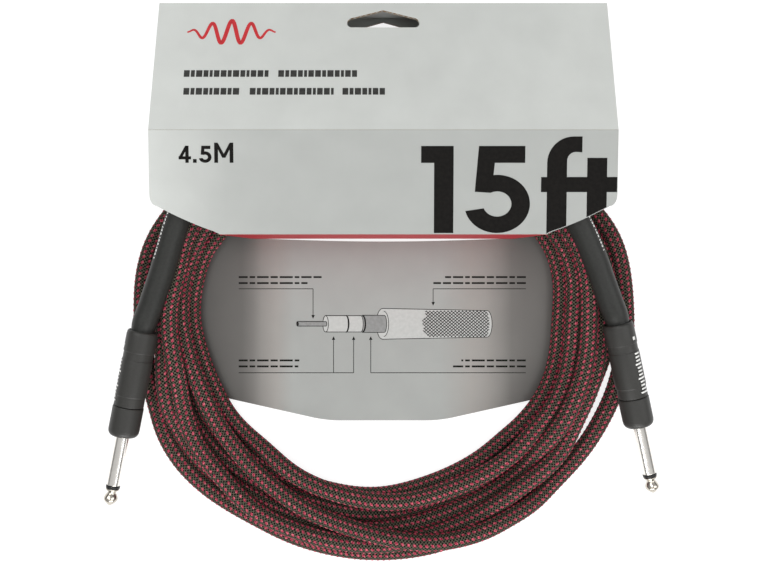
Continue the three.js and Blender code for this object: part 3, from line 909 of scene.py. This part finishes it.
def boot_marks(suffix, path):
    """A row of short printed ticks along the boot's outer side."""
    travelled = distance_along(path)
    turned = math.radians(40)
    surface = BOOT_RADIUS + BOOT_SWELL + 0.08  # clear of the boot's ripples
    first_tick, pitch, width = JACKET_END + 33, 1.55, 0.9
    long_tick, short_tick = 1.0, 0.5

    def place(length, turn, height):
        centre, ahead = sampled(path, travelled, [length, length + 1])
        outer, up = axes_across(unit(ahead - centre), ENDS[suffix]["side"])
        angle = turned + turn / BOOT_RADIUS
        return centre + (surface + height) * (math.cos(angle) * outer + math.sin(angle) * up)

    patches = []
    for tick in range(BOOT_TICKS):
        start = first_tick + pitch * tick
        end = start + (long_tick if tick % 3 else short_tick)
        patches.append(strip_on_tube(place, start, end, width, rows=3))
    add_marks("boot_marks_" + suffix, "root", "heat_shrink", patches)


for end_name in ENDS:
    barrel_marks(end_name)
for end_name, end_path in cable_ends.items():
    boot_marks(end_name, end_path)

exit_point = on_plug(ENDS["a"], 0) * MM


# ---- card sleeve ----

CREASE_GAP = 0.05  # between a board's cut end and its crease's line
BOARD_COLUMNS = 81
BOARD_ROWS = 12
COLUMNS_PER_FLUTE = 8
FLUTE_INSET = 0.15  # how far the flute stays inside the paper's cut edge


class Panel:
    """A board from one crease to the next.
    Places on it are x, the distance from its first crease, and the depth under its outer face."""

    def __init__(self, start, end):
        self.start = np.array(start, float)
        self.length = float(np.linalg.norm(end - self.start))
        self.along = (end - self.start) / self.length
        self.inward = np.array([-self.along[1], self.along[0]])

    def point(self, x, distance, depth=0.0):
        distance, depth = np.asarray(distance, float), np.asarray(depth, float)
        y, z = (self.start[k] + distance * self.along[k] + depth * self.inward[k] for k in (0, 1))
        return np.stack(np.broadcast_arrays(x, y, z), axis=-1)

    def distance_at(self, y):
        """The distance from the first crease of the place on the outer face at this height on the card."""
        return (np.asarray(y, float) - self.start[0]) / self.along[0]


def mitre(before, crease, after):
    """How far the board's inner face ends before the crease."""
    back, on = np.subtract(before, crease), np.subtract(after, crease)
    between = math.acos(np.dot(back, on) / (np.linalg.norm(back) * np.linalg.norm(on)))
    return BOARD / math.tan(between / 2)


def board_sheet(panel, xs, curves, rows, depth, mitres):
    """One sheet of paper of a board: bands of quads between pairs of curves.
    Each curve is a distance along the panel for every x."""
    vertices, faces = [], []
    base = 0
    for low, high in zip(curves[0::2], curves[1::2]):
        share = np.linspace(0, 1, rows)[:, None]
        distance = low[None] * (1 - share) + high[None] * share
        inner = np.clip(np.max(depth) / BOARD, 0, 1)
        near_start = np.clip(1 - distance / MITRE_REACH, 0, 1)
        near_end = np.clip(1 - (panel.length - distance) / MITRE_REACH, 0, 1)
        distance = distance + inner * (mitres[0] * near_start - mitres[1] * near_end)
        band = panel.point(xs[None], distance, np.broadcast_to(depth, distance.shape))
        vertices.append(band.reshape(-1, 3))
        faces.append(grid_faces(rows, len(xs)) + base)
        base += rows * len(xs)
    return np.vstack(vertices), np.vstack(faces)


def columns_of(*parts):
    """Places across a board, in order and each once."""
    return np.unique(np.round(np.concatenate(parts), 4))


def make_board(name, body, node, slot, panel, curves_at, mitres, prints, special=(),
               half_width=CARD_HALF_WIDTH):
    """A micro-flute board: an outer and an inner liner with a waved medium between them.
    curves_at gives the edges of its bands for places across it, and special adds such places."""
    xs = columns_of(np.linspace(-half_width, half_width, BOARD_COLUMNS), special)
    flutes = np.arange(-half_width + CREASE_GAP, half_width, FLUTE_PITCH / COLUMNS_PER_FLUTE)
    fine = columns_of(flutes, [-half_width, half_width])
    wave_depth = BOARD / 2 + (BOARD / 2 - LINER) * np.sin(2 * math.pi * fine / FLUTE_PITCH)
    flute_curves = [c + (-FLUTE_INSET if i % 2 else FLUTE_INSET) for i, c in enumerate(curves_at(fine))]
    outer_paper, inner_paper, flute = (
        board_sheet(panel, xs, curves_at(xs), BOARD_ROWS, 0.0, mitres),
        board_sheet(panel, xs, curves_at(xs), BOARD_ROWS, BOARD, mitres),
        board_sheet(panel, fine, flute_curves, 2, wave_depth, mitres),
    )
    inner_paper = (inner_paper[0], inner_paper[1][:, ::-1])
    vertices, faces, kinds = np.empty((0, 3)), [], []
    for kind, (points, quads) in enumerate((outer_paper, inner_paper, flute)):
        faces.append(quads + len(vertices))
        vertices = np.vstack([vertices, points])
        kinds += [kind] * len(quads)
    board = add_piece(name, body, slot, vertices, np.vstack(faces), [*prints, KRAFT], kinds, smooth=False)
    with edited(board) as mesh:
        bmesh.ops.remove_doubles(mesh, verts=mesh.verts, dist=2 * MERGE_DISTANCE)
        bmesh.ops.dissolve_degenerate(mesh, edges=mesh.edges, dist=MERGE_DISTANCE)
    thick = board.modifiers.new("paper", "SOLIDIFY")
    thick.thickness = LINER * MM
    thick.offset = -1
    thick.material_offset_rim = 2  # the cut edges show the kraft core
    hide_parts(node)


def opening(xs, half_width, low, high, middle):
    """Two curves that part between -half_width and half_width, and run together at the middle elsewhere."""
    inside = np.abs(xs) < half_width
    return np.where(inside, low, middle), np.where(inside, high, middle)


def hang_hole(xs, lower, shoulder_rise, peak_rise):
    """The rises of the hole's flat edge and of its peaked edge, with rounded ends."""
    out = np.abs(xs)
    end = HANG_HOLE_HALF_WIDTH
    corner, bend = 2.0, 3  # radii at the ends of the flat edge and of the peaked edge
    extra_rise = 0.6  # makes up for what the rounding takes from the shoulder
    shoulder = shoulder_rise + extra_rise
    reach = np.clip((out - (end - corner)) / corner, 0, 1)
    flat = lower + corner * (1 - np.sqrt(1 - reach ** 2))
    slope = shoulder + (peak_rise - shoulder) * (1 - out / (end - bend))
    tip = np.clip((out - (end - bend)) / bend, 0, 1)
    round_end = corner + (shoulder - corner) * np.sqrt(1 - tip ** 2)
    peak = lower + np.where(out < end - bend, slope, round_end)
    return opening(xs, end, flat, np.maximum(peak, flat), lower + corner)


def back_curves(xs):
    """The lower edge with its rounded corners, the slit, the hang hole and the top crease."""
    corners = (
        (0, 0), (BACK_FLAT_HALF_WIDTH - 4, 0), (BACK_FLAT_HALF_WIDTH, 0.3), (BACK_FLAT_HALF_WIDTH + 5, 1),
        BACK_SHOULDER, (CARD_HALF_WIDTH - 4, BACK_CORNER_RISE - 1),
        (CARD_HALF_WIDTH - 2, BACK_CORNER_RISE - 0.2), (CARD_HALF_WIDTH - 0.6, BACK_CORNER_RISE + 1.6),
        (CARD_HALF_WIDTH, BACK_CORNER_RISE + 4),
    )
    low = np.interp(np.abs(xs), *zip(*corners))
    top = np.full_like(xs, BACK_TOP_CREASE[0] - BACK_LOWER_Y - CREASE_GAP)
    # the tab holds the slit open, so that its lower edge bows down
    rise_at_ends, bow_depth, bow_power, rise_of_cut = 1.1, 1.45, 1.4, 1.3
    slit_start, slit_end = (y - BACK_LOWER_Y for y in SLIT_Y)
    bow = np.clip(1 - (xs / SLIT_HALF_WIDTH) ** 2, 0, 1)
    bowed = slit_start + rise_at_ends - bow_depth * bow ** bow_power
    slit_low, slit_high = opening(xs, SLIT_HALF_WIDTH, bowed, slit_end, slit_start + rise_of_cut)
    lower, shoulder, peak = HANG_HOLE_Y
    hole_start = lower + BACK_HOLE_LIFT - BACK_LOWER_Y
    hole_low, hole_high = hang_hole(xs, hole_start, shoulder - lower, peak - lower)
    return [low, slit_low, slit_high, hole_low, hole_high, top]


def plain_curves(panel, xs):
    return [np.full_like(xs, CREASE_GAP), np.full_like(xs, panel.length - CREASE_GAP)]


def top_curves(xs):
    return plain_curves(top_panel, xs)


def upper_curves(xs):
    """The hang hole between the two creases, drawn longer as the panel slopes."""
    slope = upper_panel.length / (TOP_FRONT_CREASE[0] - FRONT_CREASE[0])
    lower, shoulder, peak = HANG_HOLE_Y
    flat, peaked = hang_hole(xs, 0, (shoulder - lower) * slope, (peak - lower) * slope)
    edge = (TOP_FRONT_CREASE[0] - lower) * slope
    start, end = plain_curves(upper_panel, xs)
    return [start, edge - peaked, edge - flat, end]


def lower_front_end(xs):
    """How far down the lower front panel reaches from its first crease: a straight edge between chamfers."""
    edge = lower_panel.length - CREASE_GAP
    out = np.abs(xs)
    rounding, corner_rise = 3, 5  # across the card and up it, at the panel's lower corners
    first_rise, flat_end, curved = 0.6, 2.6, 0.25  # how each chamfer starts and ends, and its share of curve
    chamfer = np.clip((out - FLAP_HALF_WIDTH) / (CARD_HALF_WIDTH - rounding - FLAP_HALF_WIDTH), 0, 1)
    profile = (1 - curved) * chamfer + curved * chamfer ** 2
    rise = first_rise + (edge - FRONT_CHAMFER_START - flat_end) * profile
    corner = np.clip((out - CARD_HALF_WIDTH + rounding) / rounding, 0, 1)
    return edge - np.where(out <= FLAP_HALF_WIDTH, 0, rise) - corner_rise * (1 - np.sqrt(1 - corner ** 2))


def lower_curves(xs):
    return [np.full_like(xs, CREASE_GAP), lower_front_end(xs)]


def flap_curves(xs):
    """The flap narrows towards its tab, so its sides are cut by shortening the outermost columns."""
    least_share = 0.001  # so that the outermost columns keep a length
    taper = np.clip((FLAP_HALF_WIDTH - np.abs(xs)) / (FLAP_HALF_WIDTH - TAB_HALF_WIDTH), 0, 1)
    reach = (flap_panel.length - CREASE_GAP) * np.maximum(taper, least_share)
    return [np.full_like(xs, CREASE_GAP), CREASE_GAP + reach]


back_panel = Panel((BACK_LOWER_Y, 0), BACK_TOP_CREASE)
top_panel = Panel(BACK_TOP_CREASE, TOP_FRONT_CREASE)
upper_panel = Panel(TOP_FRONT_CREASE, FRONT_CREASE)
lower_panel = Panel(FRONT_CREASE, FLAP_CREASE)
flap_panel = Panel(FLAP_CREASE, FLAP_END)


def columns_near(half_width, insets):
    return [side * (half_width - inset) for side in (-1, 1) for inset in insets]


corner_columns = columns_near(CARD_HALF_WIDTH, (0.15, 0.4, 0.8, 1.3, 2, 3, 4))
hole_columns = [*columns_near(HANG_HOLE_HALF_WIDTH, (0, 0.05, 0.2, 0.5, 0.9, 1.4, 2, 3, 4.5)), 0]
slit_columns = columns_near(SLIT_HALF_WIDTH, (0, 0.05, 1))
creases = ((BACK_LOWER_Y, 0), BACK_TOP_CREASE, TOP_FRONT_CREASE, FRONT_CREASE, FLAP_CREASE, FLAP_END)
mitres = [0, *(mitre(*three) for three in zip(creases, creases[1:], creases[2:])), 0]

make_board("back_board", "root", "card_back_panel", "card_grey", back_panel, back_curves, mitres[0:2],
           (UPPER_PRINT_PAINTED_LIGHT, INNER_PRINT_PAINTED_SHADE), [*corner_columns, *hole_columns, *slit_columns])
make_board("top_board", "card_top", "card_top_panel", "card_grey", top_panel, top_curves, mitres[1:3],
           (UPPER_PRINT_PAINTED_LIGHT, UPPER_PRINT_PAINTED_LIGHT))
make_board("front_upper_board", "card_upper", "card_front_upper", "card_grey", upper_panel, upper_curves,
           mitres[2:4], (UPPER_PRINT_PAINTED_LIGHT, UPPER_PRINT_PAINTED_LIGHT), hole_columns)
make_board("front_lower_board", "card_lower", "card_front_lower", "card_grey", lower_panel, lower_curves,
           mitres[3:5], (LOWER_PRINT_PAINTED_LIGHT, RED_PRINT), corner_columns)
make_board("tuck_flap_board", "card_flap", "card_tuck_flap", "card_red", flap_panel, flap_curves, mitres[4:6],
           (RED_PRINT, RED_PRINT), half_width=FLAP_HALF_WIDTH)


# ---- print on the card ----

INK_THICKNESS = 0.04
OUTER_FACE, INNER_FACE = -1, 1  # the sign of the depth that a layer of ink adds


def print_shapes(name, body, panel, side, shapes, material, level=1):
    """Flat printed shapes, each a list of (x, y) points on the card, as thin closed solids on a panel's face.
    Print that lies over other print has a higher level."""
    vertices, faces = [], []
    for shape in shapes:
        flat = [(float(x), float(y)) for x, y in shape]
        count = len(flat)
        triangles = tessellate_polygon([[Vector((x, y, 0)) for x, y in flat]])
        base = len(vertices)
        surface = BOARD if side == INNER_FACE else 0
        for lift in (level * INK_THICKNESS, 0.0):
            for x, y in flat:
                vertices.append(panel.point(x, panel.distance_at(y), surface + side * lift))
        for a, b, c in triangles:
            faces.append([base + a, base + b, base + c])
            faces.append([base + count + c, base + count + b, base + count + a])
        for k in range(count):
            following = (k + 1) % count
            faces.append([base + k, base + following, base + count + following, base + count + k])
    turn_outwards(add_piece(name, body, "card_grey", vertices, faces, [material], smooth=False))


def bar(left, right, low, high):
    return [(left, low), (right, low), (right, high), (left, high)]


def arc(centre, radii, start, end, steps):
    angles = np.radians(np.linspace(start, end, steps))
    return [(centre[0] + radii[0] * math.cos(a), centre[1] + radii[1] * math.sin(a)) for a in angles]


def placed(outline, x, y, size):
    """An outline drawn in shares of its own height, put at a place on the card."""
    return [(x + size * px, y + size * py) for px, py in outline]


def numeral_one(x, y, size):
    return placed([(0.15, 0), (0.375, 0), (0.375, 1), (0, 1), (0, 0.807), (0.15, 0.807)], x, y, size)


def numeral_five(x, y, size):
    centre, outer, inner = (0.375, 0.335), (0.38, 0.335), (0.165, 0.145)
    return placed([
        *arc(centre, outer, 96, -166, 40), *arc(centre, inner, -160, 118, 30), (0.115, 0.475), (0.16, 1),
        (0.695, 1), (0.695, 0.807), (0.345, 0.807), (0.33, 0.665),
    ], x, y, size)


def lowest_print(x):
    """How low print may reach on the lower front panel, just short of the card's edge."""
    margin = 0.3
    distance = float(lower_front_end(np.array([x]))[0]) - margin
    return float(lower_panel.point(x, distance)[1])


def cut_foot(left, right):
    """The foot of a stem that the card's edge cuts off, from left to right."""
    return [(x, lowest_print(x)) for x in np.linspace(left, right, 6)]


def letters_foot():
    """A joined f and t, the sign for feet. The card's edge cuts their two feet."""
    bar_low, bar_high = 40.3, 46.7
    f_left, f_right, t_left, t_right = 69.8, 78.3, 86.9, 95.4  # the sides of the two stems
    hook_inside = arc((82, 53.6), (3.7, 3.7), 180, 90, 7)
    hook_outside = arc((81, 52.6), (11.2, 11.2), 90, 180, 12)
    return [
        *cut_foot(f_left, f_right), (f_right, bar_low), (t_left, bar_low), *cut_foot(t_left, t_right),
        (t_right, bar_low), (99.8, bar_low), (99.8, bar_high), (t_right, bar_high), (t_right, 54.8),
        (t_left, 54.8), (t_left, bar_high), (f_right, bar_high), *hook_inside, (84.7, 57.1), (84.7, 63.8),
        *hook_outside, (f_left, bar_high), (67.3, bar_high), (67.3, bar_low), (f_left, bar_low),
    ]


def numeral_four(x, y, size):
    stem = bar(0.40, 0.60, 0, 1)
    crossbar = bar(0, 0.74, 0.2, 0.38)
    slope = [(0, 0.3), (0.2, 0.3), (0.6, 1), (0.4, 1)]
    return [placed(part, x, y, size) for part in (stem, crossbar, slope)]


def letter_metre(x, y, size):
    return placed([
        (0, 0), (0.19, 0), (0.19, 0.66), (0.4, 0.25), (0.56, 0.25), (0.77, 0.66), (0.77, 0), (0.96, 0),
        (0.96, 1), (0.78, 1), (0.48, 0.45), (0.18, 1), (0, 1),
    ], x, y, size)


def wave_mark():
    """A drawn sound wave that swells and fades, as a ribbon of short quads."""
    left, right, centre_y = -86.5, -47.5, 112.2
    swell, waves = 5.6, 4.5
    xs = np.linspace(left, right, 110)
    part = (xs - xs[0]) / (xs[-1] - xs[0])
    middle = centre_y + swell * np.sin(math.pi * part) * np.sin(2 * math.pi * waves * part)
    width = 0.35 + 0.55 * np.sin(math.pi * part)
    slope = np.gradient(middle, xs)
    normal = np.stack([-slope, np.ones_like(slope)], axis=1) / np.sqrt(1 + slope ** 2)[:, None]
    line = np.stack([xs, middle], axis=1)
    above, below = line + normal * width[:, None], line - normal * width[:, None]
    return [[below[i], below[i + 1], above[i + 1], above[i]] for i in range(len(xs) - 1)]


def word_blocks(left, right, low):
    """A row of blocks as wide as letters, in place of a word."""
    height, gap, least_width = 3.1, 0.55, 0.9
    blocks = []
    x = left
    for width in itertools.cycle((2.5, 1.7, 2.7, 2.1, 1.3, 2.4)):
        end = min(x + width, right)
        if end - x < least_width:
            return blocks
        blocks.append(bar(x, end, low, low + height))
        x = end + gap


def make_front_print():
    """The length on the lower front panel, and blocks for words and a drawn sound wave on the upper one."""
    big, low = 36.9, 22.9
    feet = [numeral_one(16.1, low, big), numeral_five(34.8, low, big), letters_foot()]
    print_shapes("length_in_feet", "card_lower", lower_panel, OUTER_FACE, feet, BLACK_INK)
    small, base = 7.2, 52.7
    metres = [
        *numeral_four(-87.2, base, small), bar(-81.1, -79.5, base, base + 1.6),
        numeral_five(-78.6, base, small), letter_metre(-72, base, small * 1.18),
    ]
    print_shapes("length_in_metres", "card_lower", lower_panel, OUTER_FACE, metres, BLACK_INK)
    words = (
        (-86.6, -49.2, 90.9), (-45.6, -11.4, 90.9), (-86.2, -61.4, 82.6), (-57.6, -21.4, 82.6),
        (-17.6, 0.7, 82.6),
    )
    blocks = [block for word in words for block in word_blocks(*word)]
    print_shapes("title_blocks", "card_upper", upper_panel, OUTER_FACE, blocks, GREY_INK)
    print_shapes("wave_mark", "card_upper", upper_panel, OUTER_FACE, wave_mark(), RED_INK)


make_front_print()

DIAGRAM_Y = -17.7
TEXT_LEFT, TEXT_RIGHT = -67.6, 66.8
LINE = 0.3
BOLD_LINE = 0.7


def stroke(points, width=LINE, closed=False):
    """A ribbon of shapes along a line, one for each of its straight stretches."""
    following = points[1:] + points[:1] if closed else points[1:]
    shapes = []
    for (x0, y0), (x1, y1) in zip(points, following):
        length = math.hypot(x1 - x0, y1 - y0)
        nx, ny = -(y1 - y0) / length * width / 2, (x1 - x0) / length * width / 2
        shapes.append([(x0 + nx, y0 + ny), (x0 - nx, y0 - ny), (x1 - nx, y1 - ny), (x1 + nx, y1 + ny)])
    return shapes


def drawn_tube(left, right, half_left, half_right, bulge):
    """The outline of a drawn cylinder with rounded ends, clockwise from its lower left corner."""
    return [
        *arc((left, DIAGRAM_Y), (bulge, half_left), 270, 90, 20),
        *arc((right, DIAGRAM_Y), (bulge * 0.8, half_right), 90, -90, 20),
    ]


def braid_hatching(left, right, half_height):
    """Crossed lines over the drawn braid, which starts on a ragged edge."""
    step, slope, line_width = 1.7, 1.15, 0.34
    edge_bulge, raggedness, end_bulge = 1.6, 0.5, 1.4
    lines = []
    for direction, number in itertools.product((1, -1), range(-12, 40)):
        line = []
        for part in np.linspace(-0.97, 0.97, 21):
            y = part * half_height
            x = left + step * number + direction * slope * y
            start = left + edge_bulge * part * part - raggedness * math.sin(9 * part)
            if start <= x <= right + end_bulge * math.sqrt(1 - part * part):
                line.append((x, DIAGRAM_Y + y))
        if len(line) > 1:
            lines += stroke([line[0], line[-1]], line_width)
    return lines


def greeked(edge, top, width):
    """One row of small bars in place of words, from the text's left or right edge inwards."""
    height, gap, least_width = 0.85, 0.9, 0.8
    bars = []
    travelled = 0
    for word in (4.2, 2.6, 5.4, 3.4, 6.1, 2.2, 4.8, 3.8, 5.6, 3.1):
        reach = min(travelled + word, width)
        if reach - travelled < least_width:
            break
        ends = (edge + travelled, edge + reach) if edge == TEXT_LEFT else (edge - reach, edge - travelled)
        bars.append(bar(*ends, top - height, top))
        travelled += word + gap
    return bars


def arrow(points):
    """A leader line that ends in an arrowhead at its last point."""
    half_width, head_length, overlap = 0.8, 1.7, 0.5
    (x, before), (_, tip) = points[-2:]
    direction = 1 if tip > before else -1
    foot = tip - head_length * direction
    line_end = tip - (head_length - overlap) * direction
    head = [(x - half_width, foot), (x + half_width, foot), (x, tip)]
    return [*stroke([*points[:-1], (x, line_end)]), head]


def drawn_layers():
    """The drawn cable's layers from the outside in: outline, fill, and the lines that belong to it."""
    jacket = drawn_tube(-0.2, 48.6, 7.2, 6.2, 3.0)
    jacket_end = stroke(arc((0.3, DIAGRAM_Y), (2.3, 5.9), -90, 90, 20))
    yield jacket, PALE_INK, jacket_end + braid_hatching(18.5, 48.6, 6.3)
    sleeves = (
        (-9.6, 0.6, 4.0, SHADE_INK, BOLD_LINE), (-17.4, -10.4, 3.8, PALE_INK, BOLD_LINE),
        (-26.9, -17.4, 3.8, PALE_INK, LINE),
    )
    for left, right, half_height, fill, width in sleeves:
        left_face = arc((left, DIAGRAM_Y), (1.3, 3.8), 90, -90, 16)
        yield drawn_tube(left, right, half_height, half_height, 1.3), fill, stroke(left_face, width)
    core_end = arc((-40, DIAGRAM_Y), (0.3, 0.8), 0, 345, 12)
    yield drawn_tube(-40, -26.7, 1.05, 1.05, 0.45), SHADE_INK, stroke(core_end, 0.5, closed=True)


def make_diagram():
    """A cutaway drawing of a cable on the card's inner face: braided jacket, shield, insulations and core."""
    for number, (outline, fill, lines) in enumerate(drawn_layers()):
        name = "diagram_layer_%d" % number
        level = 1 + 0.6 * number
        print_shapes(name, "root", back_panel, INNER_FACE, [outline], fill, level)
        outlined = stroke(outline, closed=True) + lines
        print_shapes(name + "_lines", "root", back_panel, INNER_FACE, outlined, BLACK_INK, level + 0.3)
    upper, lower, shown = -1.3, -40.6, -23.5  # the leader lines' heights, and where the lower ones point
    leaders = (
        [(TEXT_LEFT, upper), (-32.8, upper), (-32.8, -15.3)],
        [(TEXT_RIGHT, upper), (23.4, upper), (23.4, -9.2)],
        [(-23.2, lower), (-23.2, shown)],
        [(TEXT_LEFT, lower), (-13.8, lower), (-13.8, shown)],
        [(TEXT_RIGHT, lower), (-5.8, lower), (-5.8, shown)],
    )
    rows = (
        (TEXT_LEFT, 4.6, 38.9), (TEXT_LEFT, 1.8, 32.2), (TEXT_RIGHT, 4.6, 37.8), (TEXT_RIGHT, 1.8, 43.3),
        (TEXT_LEFT, -34.4, 28.5), (TEXT_LEFT, -37.2, 27.9),
        (TEXT_RIGHT, -34.4, 30.2), (TEXT_RIGHT, -37.2, 35.1),
    )
    notes = [shape for points in leaders for shape in arrow(points)]
    notes += [shape for row in rows for shape in greeked(*row)]
    print_shapes("diagram_notes", "root", back_panel, INNER_FACE, notes, BLACK_INK)


make_diagram()


# ---- floor and light ----


def make_floor():
    """A light table: white, and bright enough of itself that shadows on it stay faint."""
    mesh = bpy.data.meshes.new("floor")
    reach, drop = 3.0, -0.0002
    corners = [(x, y, drop) for x, y in bar(-reach, reach, -reach, reach)]
    mesh.from_pydata(corners, [], [(0, 1, 2, 3)])
    material, tree, shader = new_material("light_table")
    fill_inputs(tree, shader, {
        "Base Color": colour_ramp(tree, noise(tree, 8), [(0.3, (0.30,) * 3), (0.7, (0.32,) * 3)]),
        "Roughness": 0.9, "Specular IOR Level": 0, "Emission Color": (1, 1, 1, 1), "Emission Strength": 0.82,
    })
    mesh.materials.append(material)
    floor = bpy.data.objects.new("floor", mesh)
    bpy.context.scene.collection.objects.link(floor)


def area_light(name, place, size, power):
    """A rectangular light that faces the origin."""
    data = bpy.data.lights.new(name, "AREA")
    data.shape = "RECTANGLE"
    data.size, data.size_y = size
    data.energy = power
    light = bpy.data.objects.new(name, data)
    light.location = place
    light.rotation_mode = "QUATERNION"
    light.rotation_quaternion = (-Vector(place)).to_track_quat("-Z", "Y")
    bpy.context.scene.collection.objects.link(light)


def make_world():
    """A studio that is bright overhead and level with the table, and dimmer in between."""
    world = bpy.data.worlds.new("studio")
    world.use_nodes = True
    tree = world.node_tree
    split = add_node(tree, "SeparateXYZ", {"Vector": place_on(tree, "Generated")})
    levels = ((0.0, 1.0), (0.04, 0.85), (0.15, 0.3), (0.35, 0.45), (0.6, 1.0))
    sky = colour_ramp(tree, split.outputs["Z"], [(height, (level,) * 3) for height, level in levels])
    fill_inputs(tree, tree.nodes["Background"], {"Color": sky, "Strength": 0.55})
    bpy.context.scene.world = world


def make_light():
    make_world()
    area_light("overhead", (-0.35, 0.3, 0.9), size=(0.5, 0.9), power=3.4)
    area_light("front", (0.05, -0.75, 0.42), size=(0.7, 0.25), power=6)
    area_light("side", (0.6, 0.0, 0.7), size=(0.4, 0.8), power=2)


make_floor()
make_light()
bpy.context.scene.view_settings.view_transform = "Standard"
